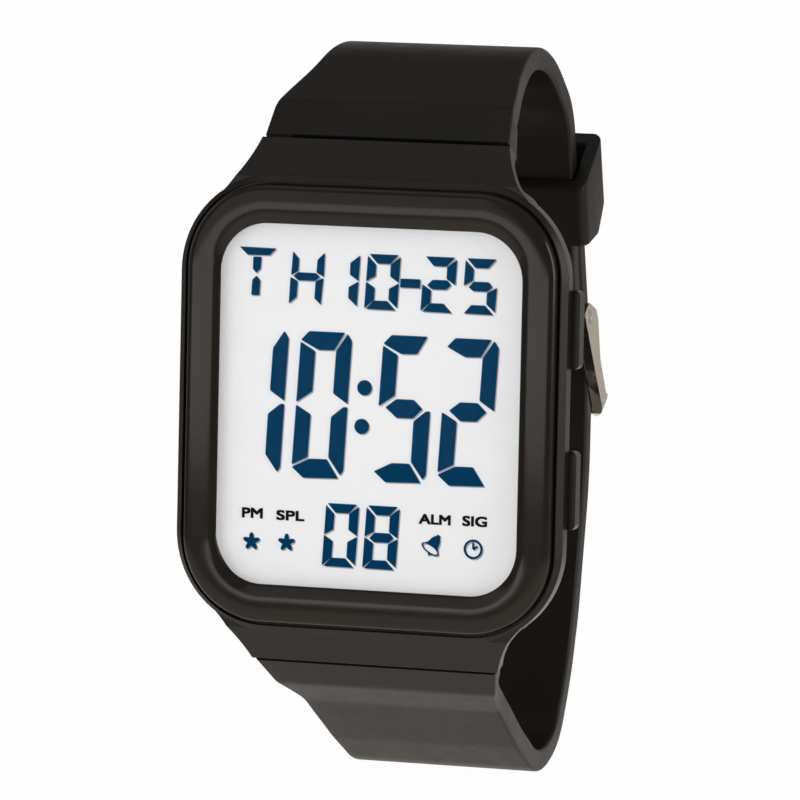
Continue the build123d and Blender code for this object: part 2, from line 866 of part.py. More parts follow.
def button_clip(side, along):
    """Return the open clip that keeps one button in the case."""
    near = side * (upper_cavity_half_width - clip_gap - clip_thickness)
    far = side * (upper_cavity_half_width - clip_gap)
    depth = button_axis_depth()
    ring = pin(near, far, depth, along, clip_radius) - pin(near, far, depth, along, stem_radius / 2)
    plane = Plane(origin=(near, at_depth(depth + clip_radius), along), x_dir=(0, 1, 0), z_dir=(side, 0, 0))
    mouth = extrude(plane * Rectangle(2 * clip_radius, clip_opening / 2), amount=clip_thickness)
    return ring - mouth


def switch_face():
    """Return how far from the middle plane the switch leaves face the button stems."""
    return stem_end - button_travel - switch_gap


def switch_spring(side, along):
    """Return the bent leaf that one button's stem presses to close its switch."""
    top = button_axis_depth() - stem_radius
    foot = frame_back()
    outer = switch_face()
    inner = outer - switch_thickness
    toe = outer - switch_foot
    sole = foot - switch_thickness
    points = [
        (side * outer, at_depth(top)), (side * outer, at_depth(foot)), (side * toe, at_depth(foot)),
        (side * toe, at_depth(sole)), (side * inner, at_depth(sole)), (side * inner, at_depth(top)),
    ]
    return Pos(0, 0, along) * across(make_face(Polyline(*points, close=True)), switch_width / 2)


def strap_root(seam_height):
    """Return the knuckle that the strap's end wraps round its bar."""
    centre = seam_point(seam_height, -bar_from_seam, -bar_below_surface)
    half = lug_half_gap - strap_root_gap
    return pin(-half, half, centre[0], centre[1], knuckle_radius)


def strap_root_relief(seam_height):
    """Return what the strap leaves free at its seam: the skin above and the lugs beside."""
    far = -2 * bar_from_seam
    skin = shoulder_skin + seam_gap
    relief = seam_block(seam_height, far, seam_gap, -skin, overrun, case_half_width)
    block = seam_block(seam_height, far, seam_gap, -3 * strap_seam_thickness, overrun, case_half_width)
    middle = seam_block(
        seam_height, 2 * far, overrun, -4 * strap_seam_thickness, 2 * overrun, lug_half_gap - strap_root_gap
    )
    centre = seam_point(seam_height, -bar_from_seam, -bar_below_surface)
    bore = pin(-case_half_width, case_half_width, centre[0], centre[1], bar_radius + bar_gap)
    return relief, block - middle, bore


def back_run(height, outward):
    """Return the depth of a point on the strap's straight back run."""
    lean = radians(back_run_angle)
    return back_run_depth + (back_run_height - height) * tan(lean) + outward / cos(lean)


def buckle_bar_place():
    """Return the depth and height of the buckle's bar."""
    lean = radians(back_run_angle)
    depth = back_run(buckle_bar_height, 0) - knuckle_radius * cos(lean)
    return depth, buckle_bar_height - knuckle_radius * sin(lean)


def strap_upper():
    """Return the 12 o'clock half of the strap, which carries the buckle and the keeper."""
    start = seam_point(upper_seam_along, -bar_from_seam, 0)
    rise = loop_top - upper_seam_along
    bends = [(depth * loop_depth, upper_seam_along + height * rise) for depth, height in upper_front_shares]
    back_height = upper_back_share * loop_top
    bends.append((back_run(back_height, 0), back_height))
    points = strap_points(
        start, (seam_depth, upper_seam_along), *bends, (back_run(buckle_bar_height, 0), buckle_bar_height)
    )
    thicknesses = [strap_seam_thickness] * 2 + [strap_middle_thickness] + [strap_back_thickness] * 2
    radii = [share * loop_depth for share in strap_upper_radius_shares]
    limit = width_limit(seam_half_width - seam_gap, upper_width_shares)
    band = strap_band(points, radii, thicknesses) & limit
    relief, sides, bore = strap_root_relief(upper_seam_along)
    body = band - relief - sides + strap_root(upper_seam_along) - bore
    bar_depth, bar_height = buckle_bar_place()
    body += pin(-strap_back_half_width, strap_back_half_width, bar_depth, bar_height, knuckle_radius)
    body -= pin(-case_half_width, case_half_width, bar_depth, bar_height, buckle_bar_radius + buckle_bar_gap)
    slot = tongue_half_width + tongue_slot_gap
    corner = side_plane(bar_depth, bar_height, 0, 1)
    room = tongue_slot_back + knuckle_radius
    outline = Pos((tongue_slot_back - room) / 2, 0) * Rectangle(tongue_slot_back + room, 2 * room)
    return body - across(corner * outline, slot)


def tail_points():
    """Return the corners of the long strap half from its seam to its tip."""
    lower = [(seam_depth, -lower_seam_along)]
    for depth, height in lower_front_shares:
        lower.append((depth * loop_depth, -lower_seam_along - height * (loop_bottom - lower_seam_along)))
    for depth, height in lower_back_shares:
        lower.append((depth * loop_depth, -height * loop_bottom))
    rise = tail_gap + tail_thickness
    lean = radians(back_run_angle)
    corner_height = back_run_height - (loop_depth - back_run_depth - rise / cos(lean)) / tan(lean)
    lower.append((loop_depth, corner_height))
    lower.append((back_run(tail_tip_height, rise), tail_tip_height))
    return lower


def strap_lower():
    """Return the 6 o'clock half of the strap with its tail and adjustment holes."""
    start = seam_point(lower_seam_along, -bar_from_seam, 0)
    places = [(start[0], -start[1])] + tail_points()
    thicknesses = [strap_seam_thickness] * 2 + [strap_middle_thickness] * 2
    thicknesses += [strap_back_thickness] * 3 + [tail_thickness] * 2
    flipped = strap_points(*[(depth, -height) for depth, height in places])
    radii = [share * loop_depth for share in strap_lower_radius_shares]
    limit = width_limit(seam_half_width - seam_gap, lower_width_shares)
    band = strap_band(flipped, radii, thicknesses) & limit
    relief, sides, bore = strap_root_relief(lower_seam_along)
    body = band - relief - sides + strap_root(lower_seam_along) - bore
    body = mirror(body, about=Plane.XY)
    body -= tail_tip_cut()
    for cutter in strap_holes():
        body -= cutter
    return body


def back_run_plane(depth, height):
    """Return a plane in the strap's straight back run: x down the run, y outwards."""
    lean = radians(back_run_angle)
    return side_plane(depth, height, sin(lean), -cos(lean))


def tail_tip_cut():
    """Return what rounds the tail's tip in the view from behind."""
    plane = back_run_plane(back_run(tail_tip_height, 0), tail_tip_height)
    flat = Plane(origin=plane.origin, x_dir=(1, 0, 0), z_dir=plane.y_dir)
    reach = 2 * tail_tip_round
    block = Rectangle(4 * strap_back_half_width, 2 * reach)
    keep = Pos(0, 0) * RectangleRounded(2 * strap_back_half_width, 2 * reach, tail_tip_round)
    centre = Pos(0, -reach) if plane.x_dir.dot(flat.y_dir) < 0 else Pos(0, reach)
    top = Pos(0, 0) * block
    height = tail_gap + tail_thickness + overrun
    return extrude(flat * top, amount=height) - extrude(flat * (centre * keep), amount=height)


def strap_path():
    """Return the long half's outer surface from its tip to its seam, in the side view."""
    points = strap_points(*reversed(tail_points()))
    radii = [share * loop_depth for share in reversed(strap_lower_radius_shares[1:])]
    return FilletPolyline(*points, radius=radii)


def strap_holes():
    """Return the cutters of the adjustment holes, spaced along the strap from the buckle."""
    path = Wire(strap_path().edges())
    tongue_place = tongue_hole_length(path)
    cutters = []
    first = -int(tongue_place / hole_pitch)
    for index in range(first, hole_count + first):
        length = tongue_place + index * hole_pitch
        share = length / path.length
        point = path @ share
        tangent = path % share
        plane = Plane(origin=(0, point.X, point.Y), x_dir=(1, 0, 0), z_dir=(0, -tangent.Y, tangent.X))
        slot = RectangleRounded(2 * hole_half_width, hole_length, hole_corner)
        cutters.append(extrude(plane * slot, amount=2 * strap_seam_thickness, both=True))
    return cutters


def tongue_hole_length(path):
    """Return how far along the path from the tip the tongue's hole lies."""
    place = buckle_point(tongue_cross_at + tongue_thickness / 2, 0)
    target = Vector(at_depth(place[0]), place[1])
    return path.param_at_point(target_on(path, target)) * path.length


def target_on(path, target):
    """Return the point of the path that is nearest to the target."""
    return path.distance_to_with_closest_points(target)[1]


def buckle_point(along, outward):
    """Return the depth and height of a point set out from the buckle's bar."""
    bar_depth, bar_height = buckle_bar_place()
    lean = radians(buckle_angle)
    depth = bar_depth + along * sin(lean) + outward * cos(lean)
    return depth, bar_height - along * cos(lean) + outward * sin(lean)


def buckle_plane():
    """Return the plane at the bar: x towards the crossbar, y outwards."""
    bar_depth, bar_height = buckle_bar_place()
    lean = radians(buckle_angle)
    return side_plane(bar_depth, bar_height, sin(lean), -cos(lean))


def keeper():
    """Return the loop round both straps, its ends slanted as it hangs."""
    plane = back_run_plane(back_run_depth, back_run_height)
    low = -strap_back_thickness - keeper_gap
    high = tail_gap + tail_thickness + keeper_gap
    inner_low = low - keeper_inner_wall
    outer_high = high + keeper_wall
    points = [
        (keeper_outer_start, outer_high), (keeper_outer_end, outer_high),
        (keeper_inner_end, keeper_lower_cut), (keeper_inner_end, inner_low), (keeper_inner_start, inner_low),
    ]
    half = strap_back_half_width + keeper_side_gap + keeper_wall
    body = across(plane * make_face(Polyline(*points, close=True)), half)
    along = Plane(origin=plane.origin, x_dir=(1, 0, 0), z_dir=plane.x_dir)
    outer = RectangleRounded(2 * half, outer_high - inner_low, keeper_round)
    inner = RectangleRounded(2 * (half - keeper_wall), high - low, keeper_inner_round)
    body &= extrude(along * (Pos(0, -(inner_low + outer_high) / 2) * outer), amount=2 * keeper_inner_end)
    return body - extrude(along * (Pos(0, -(low + high) / 2) * inner), amount=2 * keeper_inner_end)


def buckle_bar():
    """Return the plain bar through the strap's end and the buckle's arms."""
    half = strap_back_half_width + buckle_side_gap + arm_thickness
    bar_depth, bar_height = buckle_bar_place()
    return pin(-half, half, bar_depth, bar_height, buckle_bar_radius)


def arm_outline():
    """Return one arm's side view: a high rounded cheek at the bar, slim at the crossbar."""
    end = buckle_reach + crossbar_width / 2
    points = [
        (-arm_back, -arm_low), (-arm_back, arm_low / 2), (arm_high_at - arm_back / 2, arm_high),
        (arm_high_at + arm_back / 2, arm_high), (arm_waist_at, arm_waist), (end, arm_end_high),
        (end, -arm_end_low), (arm_waist_at, -arm_low),
    ]
    outline = make_face(Polyline(*points, close=True))
    return fillet(outline.vertices(), arm_round)


def crossbar_place():
    """Return the depth and height of the crossbar's middle, just clear of the strap."""
    depth = loop_depth + crossbar_gap + crossbar_thickness / 2
    return depth, buckle_bar_place()[1] - buckle_reach * cos(radians(buckle_angle))


def buckle_frame():
    """Return the steel frame: two cheeks on the bar and a crossbar over the strap."""
    inner = strap_back_half_width + buckle_side_gap
    outer = inner + arm_thickness
    plane = buckle_plane()
    cheeks = across(plane * arm_outline(), outer) - across(plane * arm_outline(), inner)
    depth, height = crossbar_place()
    section = RectangleRounded(crossbar_thickness, crossbar_width, crossbar_round)
    body = cheeks + across(side_plane(depth, height, 1, 0) * section, outer)
    limit_plane = Plane(origin=plane.origin, x_dir=(1, 0, 0), z_dir=plane.y_dir)
    length = 2 * (buckle_reach + crossbar_width / 2)
    outline = RectangleRounded(2 * outer, length, buckle_corner)
    limit = extrude(limit_plane * outline, amount=length, both=True)
    body &= limit
    bar_depth, bar_height = buckle_bar_place()
    return body - pin(-outer, outer, bar_depth, bar_height, buckle_bar_radius + buckle_bar_gap)


def crossbar_top():
    """Return how far outward of the bar's middle the crossbar reaches."""
    depth, height = crossbar_place()
    bar_depth, bar_height = buckle_bar_place()
    lean = radians(buckle_angle)
    middle = (depth - bar_depth) * cos(lean) + (height - bar_height) * sin(lean)
    return middle + (crossbar_thickness * cos(lean) + crossbar_width * sin(lean)) / 2 - crossbar_round / 2


def buckle_tongue():
    """Return the bent tongue: eye on the bar, up through the tail's hole, over the crossbar."""
    top = crossbar_top() + tongue_crown_gap
    end = buckle_reach + crossbar_width / 2 + tongue_tip_overhang
    high = top + tongue_thickness / 2
    points = [
        (0, tongue_thickness / 2 - tongue_eye_radius), (tongue_cross_at / 2, -tongue_under),
        (tongue_cross_at, -2 * tongue_under), (tongue_cross_at + tongue_thickness, high), (end, high),
    ]
    path = FilletPolyline(*points, radius=tongue_bend)
    plane = buckle_plane()
    shank = across(plane * trace(path, tongue_thickness), tongue_half_width)
    bar_depth, bar_height = buckle_bar_place()
    eye = pin(-tongue_half_width, tongue_half_width, bar_depth, bar_height, tongue_eye_radius)
    hole = pin(-case_half_width, case_half_width, bar_depth, bar_height, buckle_bar_radius + buckle_bar_gap)
    return shank + eye - hole


def spring_bar(seam_height, half):
    """Return the tube of one lug bar."""
    depth, height = seam_point(seam_height, -bar_from_seam, -bar_below_surface)
    return pin(-half, half, depth, height, bar_radius) - pin(-half, half, depth, height, bar_bore)


def spring_bar_tips():
    """Return the four stepped tips that hold the two lug bars in the case."""
    tips = []
    for seam_height, flip in ((upper_seam_along, 1), (lower_seam_along, -1)):
        depth, height = seam_point(seam_height, -bar_from_seam, -bar_below_surface)
        for side in (1, -1):
            shank = pin(side * tip_inner, side * tip_shoulder, depth, flip * height, bar_bore - bar_gap / 2)
            nose = pin(side * tip_shoulder, side * tip_outer, depth, flip * height, tip_radius)
            tips.append(shank + nose)
    return Compound(children=tips)


def main():
    """Build every piece and write each one to its own file."""
    os.makedirs("parts", exist_ok=True)
    pieces = {
        "case_body": case_body(), "bezel": bezel(), "bezel_seal": bezel_seal(), "crystal": crystal(),
        "lcd_glass": lcd_glass(), "lightguide": lightguide(), "backlight_led": backlight_led(),
        "contact_strips": contact_strips(), "module_frame": module_frame(), "circuit_board": circuit_board(),
        "chip_cover": chip_cover(), "quartz_can": quartz_can(), "capacitors": capacitors(),
        "battery_holder": battery_holder(), "coin_cell": coin_cell(), "battery_contact": battery_contact(),
        "battery_clamp": battery_clamp(), "buzzer_spring": buzzer_spring(), "buzzer_disc": buzzer_disc(),
        "case_back": case_back(), "back_screws": back_screws(), "strap_upper": strap_upper(),
        "strap_lower": strap_lower(), "spring_bar_upper": spring_bar(upper_seam_along, bar_half_length),
        "spring_bar_lower": mirror(spring_bar(lower_seam_along, bar_half_length), about=Plane.XY),
        "spring_bar_tips": spring_bar_tips(), "keeper": keeper(), "buckle_bar": buckle_bar(),
        "buckle_frame": buckle_frame(), "buckle_tongue": buckle_tongue(),
    }
    back_seat = case_thickness - back_plate_thickness
    pieces["back_gasket"] = gasket_ring(back_seat - gasket_depth, back_seat)
    for name, (side, along) in button_places().items():
        pieces["button_" + name] = button(side, along)
        pieces["button_seal_" + name] = button_seal(side, along)
        pieces["button_clip_" + name] = button_clip(side, along)
        pieces["switch_spring_" + name] = switch_spring(side, along)
    for name, piece in pieces.items():
        export_step(piece, "parts/" + name + ".step")


main()
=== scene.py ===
"""A square digital wristwatch, its resin strap buckled into a loop, in a white studio."""
import json
import logging
import math
from dataclasses import dataclass, field
from enum import Enum
from typing import Callable

import bpy
import numpy as np
from mathutils import Matrix, Vector


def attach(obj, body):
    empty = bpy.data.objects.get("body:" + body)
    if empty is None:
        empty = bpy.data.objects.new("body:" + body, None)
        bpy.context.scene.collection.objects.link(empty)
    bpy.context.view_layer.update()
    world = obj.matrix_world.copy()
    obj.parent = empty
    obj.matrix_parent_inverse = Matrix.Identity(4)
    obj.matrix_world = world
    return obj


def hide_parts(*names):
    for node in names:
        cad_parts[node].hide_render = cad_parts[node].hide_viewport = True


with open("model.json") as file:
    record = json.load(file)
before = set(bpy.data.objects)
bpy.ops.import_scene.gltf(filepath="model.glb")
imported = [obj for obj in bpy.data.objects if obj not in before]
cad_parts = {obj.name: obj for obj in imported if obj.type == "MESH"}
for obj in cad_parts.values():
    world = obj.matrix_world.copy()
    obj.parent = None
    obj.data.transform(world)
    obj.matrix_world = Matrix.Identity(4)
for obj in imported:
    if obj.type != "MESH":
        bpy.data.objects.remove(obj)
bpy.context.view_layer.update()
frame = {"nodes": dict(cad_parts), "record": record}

Array = np.ndarray
Pair = tuple[float, float]
Pairs = tuple[Pair, ...]
Place = tuple[float, float, float]
MM = 0.001
CASE_THICKNESS = 9.6
LOG = logging.getLogger("watch")


# Meshes


def at_depth(depth: float | Array) -> float | Array:
    """Return the Y of a depth measured from the front of the bezel."""
    return depth - CASE_THICKNESS


def placed(name: str, data: bpy.types.ID) -> bpy.types.Object:
    """Put a new object of the given mesh, curve, lamp or camera into the scene."""
    made = bpy.data.objects.new(name, data)
    bpy.context.scene.collection.objects.link(made)
    return made


def baked(piece: bpy.types.Object) -> bpy.types.Mesh:
    """Return an object's final mesh, with its modifiers applied."""
    return bpy.data.meshes.new_from_object(piece.evaluated_get(bpy.context.evaluated_depsgraph_get()))


def grid_faces(rows: int, columns: int, wrap_rows: bool, wrap_columns: bool) -> Array:
    """Number the corners of every cell of a grid of points, row by row.

    Args:
        rows: How many rows of points there are.
        columns: How many points each row has.
        wrap_rows: Whether the last row joins the first.
        wrap_columns: Whether each row's end joins its start.

    Returns:
        The four point numbers of each cell.
    """
    row = np.arange(rows if wrap_rows else rows - 1)
    column = np.arange(columns if wrap_columns else columns - 1)
    here, there = np.meshgrid(row, column, indexing="ij")
    below, beside = (here + 1) % rows, (there + 1) % columns
    corners = (here * columns + there, below * columns + there, below * columns + beside, here * columns + beside)
    return np.stack(corners, axis=-1).reshape(-1, 4)


@dataclass
class Surface:
    """A mesh being made, its points in millimetres as X, depth and Z turned into X, Y and Z."""

    points: Array
    quads: Array = field(default_factory=lambda: np.zeros((0, 4), int))
    caps: list[Array] = field(default_factory=list)

    def joined(self, other: "Surface") -> "Surface":
        """Return this surface and another one as a single mesh."""
        shift = len(self.points)
        caps = self.caps + [cap + shift for cap in other.caps]
        return Surface(np.vstack([self.points, other.points]), np.vstack([self.quads, other.quads + shift]), caps)

    def shifted(self, step: Place) -> "Surface":
        """Return the surface moved by a step."""
        return Surface(self.points + np.array(step), self.quads, self.caps)

    def volume(self) -> float:
        """Return the signed volume: the sum of the tetrahedra from the origin to each face."""
        loops = [self.quads[:, [0, 1, 2]], self.quads[:, [0, 2, 3]]]
        for cap in self.caps:
            loops.append(np.stack([np.full(len(cap) - 2, cap[0]), cap[1:-1], cap[2:]], axis=-1))
        a, b, c = np.moveaxis(self.points[np.vstack(loops)], 1, 0)
        return float(np.einsum("ij,ij->i", a, np.cross(b, c)).sum() / 6)

    def outward(self) -> "Surface":
        """Return the surface with its faces turned outwards, judged by its signed volume."""
        if self.volume() >= 0:
            return self
        return Surface(self.points, self.quads[:, ::-1], [cap[::-1] for cap in self.caps])

    def to_mesh(self, name: str, unit: float) -> bpy.types.Mesh:
        """Return the surface as a mesh whose lengths are the points' times the unit."""
        mesh = bpy.data.meshes.new(name)
        mesh.from_pydata((self.points * unit).tolist(), [], self.quads.tolist() + [cap.tolist() for cap in self.caps])
        mesh.validate()
        return mesh

    def to_object(self, name: str, material: bpy.types.Material, sharp_above: float = 40.0) -> bpy.types.Object:
        """Put the mesh into the scene, in metres, smooth except at its sharp edges.

        Args:
            name: The piece's name.
            material: The finish of the whole piece.
            sharp_above: The angle in degrees between faces above which an edge stays sharp.

        Returns:
            The new object.
        """
        mesh = self.outward().to_mesh(name, MM)
        mesh.polygons.foreach_set("use_smooth", np.ones(len(mesh.polygons), bool))
        mesh.materials.append(material)
        mesh.set_sharp_from_angle(angle=math.radians(sharp_above))
        return placed(name, mesh)


def unit_circle(count: int) -> Array:
    """Return points evenly spaced on a circle of radius one, counter-clockwise."""
    turn = np.linspace(0, 2 * math.pi, count + 1)[:-1]
    return np.stack([np.cos(turn), np.sin(turn)], axis=-1)


def rounded_rings(half_width: Array, half_length: Array, corner: Array, arc: int, side: int) -> Array:
    """Return rounded rectangles, one per entry of the size arrays.

    Each is four quarter circles about the corner centres, joined by straight sides whose
    points are the weighted means of the arcs' ends.

    Args:
        half_width: Half of each rectangle's width.
        half_length: Half of each rectangle's length.
        corner: Each rectangle's corner radius.
        arc: Points on each corner.
        side: Points between two corners.

    Returns:
        An array of rings by points by two, counter-clockwise from the right-hand side.
    """
    sizes = (half_width, half_length, corner)
    wide, long, radius = (np.atleast_1d(np.asarray(size, float))[:, None, None] for size in sizes)
    signs = np.array([(1, 1), (-1, 1), (-1, -1), (1, -1)])[None, :, None, :]
    turn = np.radians(np.arange(4)[None, :, None] * 90 + np.linspace(0, 90, arc)[None, None, :])
    across = signs[..., 0] * (wide - radius) + radius * np.cos(turn)
    along = signs[..., 1] * (long - radius) + radius * np.sin(turn)
    corners = np.stack([across, along], axis=-1)
    share = np.linspace(0, 1, side + 2)[1:-1][None, None, :, None]
    sides = corners[:, :, -1:, :] * (1 - share) + np.roll(corners, -1, axis=1)[:, :, :1, :] * share
    return np.concatenate([corners, sides], axis=2).reshape(len(corners), -1, 2)


def rounded_outline(half_width: float, half_length: float, corner: float, arc: int, side: int) -> Array:
    """Return one rounded rectangle, counter-clockwise."""
    return rounded_rings(half_width, half_length, corner, arc, side)[0]


def front_points(outline: Array, depth: Array) -> Array:
    """Turn front-view outlines at given depths into points in space."""
    levels = np.broadcast_to(at_depth(np.asarray(depth, float)), outline.shape[:-1])
    return np.stack([outline[..., 0], levels, outline[..., 1]], axis=-1)


def ring_solid(rings: Array) -> Surface:
    """Join a closed series of closed rings, each to the next and the last to the first."""
    count, size, _ = rings.shape
    return Surface(rings.reshape(-1, 3), grid_faces(count, size, True, True))


def capped_solid(rings: Array) -> Surface:
    """Join an open series of closed rings and close both ends with flat caps."""
    count, size, _ = rings.shape
    last = (count - 1) * size + np.arange(size)
    return Surface(rings.reshape(-1, 3), grid_faces(count, size, False, True), [np.arange(size)[::-1], last])


def grown(outline: Array, distance: float, sharpest: float = 0.6) -> Array:
    """Move a closed outline's points outwards along the mean of their two sides' normals.

    Args:
        outline: Points of a counter-clockwise outline.
        distance: How far the sides move; less than zero draws the outline in.
        sharpest: The least squared length of the summed normals, which holds sharp corners back.

    Returns:
        The moved points.
    """
    ahead = np.roll(outline, -1, axis=0) - outline
    ahead /= np.linalg.norm(ahead, axis=1, keepdims=True)
    behind = np.roll(ahead, 1, axis=0)
    first = np.stack([behind[:, 1], -behind[:, 0]], axis=-1)
    second = np.stack([ahead[:, 1], -ahead[:, 0]], axis=-1)
    middle = first + second
    return outline + distance * 2 * middle / np.maximum((middle * middle).sum(axis=1, keepdims=True), sharpest)


def softened(outline: Array, radius: float, steps: int = 4, most: float = 0.45) -> Array:
    """Round an outline's corners with short parabolas that start and end a radius away.

    Args:
        outline: The corner points.
        radius: The distance along each side at which the rounding begins.
        steps: Points of each parabola less one.
        most: The largest share of a side that one corner takes.

    Returns:
        The rounded outline.
    """
    before = np.roll(outline, 1, axis=0) - outline
    after = np.roll(outline, -1, axis=0) - outline
    size_before = np.linalg.norm(before, axis=1, keepdims=True)
    size_after = np.linalg.norm(after, axis=1, keepdims=True)
    start = outline + before * np.minimum(radius / size_before, most)
    end = outline + after * np.minimum(radius / size_after, most)
    share = np.linspace(0, 1, steps + 1)[None, :, None]
    curve = start[:, None] * (1 - share) ** 2 + 2 * outline[:, None] * share * (1 - share) + end[:, None] * share**2
    return curve.reshape(-1, 2)


def counter_clockwise(outline: Array) -> Array:
    """Return a closed outline ordered counter-clockwise, judged by its signed area."""
    following = np.roll(outline, -1, axis=0)
    area = (outline[:, 0] * following[:, 1] - following[:, 0] * outline[:, 1]).sum()
    return outline if area > 0 else outline[::-1]


def plate(outline: Array, near: float, far: float, edge: float = 0.0) -> Surface:
    """Return a flat plate of a front-view outline between two depths, its front edge eased.

    Args:
        outline: The closed outline in the front view.
        near: The depth of its front face.
        far: The depth of its back face.
        edge: The width of the eased front edge.

    Returns:
        The closed plate.
    """
    line = counter_clockwise(outline)
    levels = [(0.0, near), (0.0, far)] if edge == 0 else [(-edge, near), (0.0, near + edge), (0.0, far)]
    return capped_solid(np.stack([front_points(grown(line, grow), depth) for grow, depth in levels]))


def smooth_through(places: Array, values: Array, wanted: Array) -> Array:
    """Read a smooth curve through known values.

    Between two known places the value is the cubic whose slopes at both ends are the slopes
    of the parabola through the neighbours, and it is held beyond the ends.

    Args:
        places: The known places, rising.
        values: The value at each place.
        wanted: Where the curve is read.

    Returns:
        The value at each wanted place.
    """
    slopes = np.gradient(values, places)
    at = np.clip(wanted, places[0], places[-1])
    index = np.clip(np.searchsorted(places, at, side="right") - 1, 0, len(places) - 2)
    span = places[index + 1] - places[index]
    t = (at - places[index]) / span
    low, high = values[index], values[index + 1]
    hold = low * (1 + 2 * t) * (1 - t) ** 2 + high * t * t * (3 - 2 * t)
    return hold + span * (slopes[index] * t * (1 - t) ** 2 - slopes[index + 1] * t * t * (1 - t))


class Carving(Enum):
    """What is done with a tool on a body."""

    CUT = "DIFFERENCE"
    JOIN = "UNION"


def read_surface(mesh: bpy.types.Mesh) -> Surface:
    """Return a mesh's points and faces as a surface, each face a cap."""
    flat = np.zeros(len(mesh.vertices) * 3)
    mesh.vertices.foreach_get("co", flat)
    numbers = np.zeros(len(mesh.loops), int)
    mesh.loops.foreach_get("vertex_index", numbers)
    starts = np.zeros(len(mesh.polygons), int)
    mesh.polygons.foreach_get("loop_start", starts)
    return Surface(flat.reshape(-1, 3), caps=np.split(numbers, starts[1:]))


def read_solid(solid: bpy.types.Object) -> Surface:
    """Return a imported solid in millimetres, its doubled corners merged."""
    shape = read_surface(solid.data)
    turn = np.array(solid.matrix_world)
    corners = (shape.points @ turn[:3, :3].T + turn[:3, 3]) / MM
    points, numbers = np.unique(np.round(corners, 4), axis=0, return_inverse=True)
    numbers = numbers.reshape(-1)
    return Surface(points, caps=[numbers[cap] for cap in shape.caps])


def carved(body: Surface, steps: list[tuple[Carving, Surface]]) -> Surface:
    """Cut tools out of a body or join them on, worked at a thousand times the final size.

    A step that loses most of the faces is worked again in the solver's slower, careful way.

    Args:
        body: The closed surface that is changed.
        steps: What is done, in order, and with which closed tool.

    Returns:
        The resulting surface.
    """
    work = placed("work", body.outward().to_mesh("work", 1.0))
    for kind, tool in steps:
        helper = placed("tool", tool.outward().to_mesh("tool", 1.0))
        step = work.modifiers.new("carve", "BOOLEAN")
        step.operation, step.object, step.solver = kind.value, helper, "EXACT"
        for careful in (False, True):
            step.use_self = careful
            mesh = baked(work)
            if 2 * len(mesh.polygons) > len(work.data.polygons):
                break
        work.modifiers.clear()
        old, work.data = work.data, mesh
        bpy.data.meshes.remove(old)
        bpy.data.objects.remove(helper)
    result = read_surface(work.data)
    bpy.data.objects.remove(work)
    return result


# Shader maths


Colour = tuple[float, float, float]


def written(red: int, green: int, blue: int) -> Colour:
    """Return a colour as it is written on a screen, from 0 to 255, as linear light."""
    shares = np.array([red, green, blue]) / 255
    light = np.where(shares <= 0.04045, shares / 12.92, ((shares + 0.055) / 1.055) ** 2.4)
    return tuple(float(value) for value in light)


def operator(operation: str, swapped: bool = False) -> Callable[["Value", "Value | float"], "Value"]:
    """Return a method that works one Math node on a value and another, or on both swapped."""

    def method(value: "Value", other: "Value | float") -> "Value":
        """Return the result of the node."""
        return value.maths(operation, *((other, value) if swapped else (value, other)))

    return method


class Value:
    """A socket of a shader node that can be used in sums and products."""

    def __init__(self, graph: "Graph", socket: bpy.types.NodeSocket) -> None:
        """Keep the socket and the graph that new nodes go to."""
        self.graph = graph
        self.socket = socket

    def maths(self, operation: str, first: "Value | float", second: "Value | float") -> "Value":
        """Return the result of one Math node on two inputs."""
        return self.graph.node("ShaderNodeMath", {"operation": operation}, {0: first, 1: second})

    __add__ = __radd__ = operator("ADD")
    __sub__, __rsub__ = operator("SUBTRACT"), operator("SUBTRACT", swapped=True)
    __mul__ = __rmul__ = operator("MULTIPLY")
    __truediv__ = operator("DIVIDE")

    def clipped(self) -> "Value":
        """Return the value held between zero and one."""
        return self.maths("MINIMUM", self.maths("MAXIMUM", self, 0.0), 1.0)


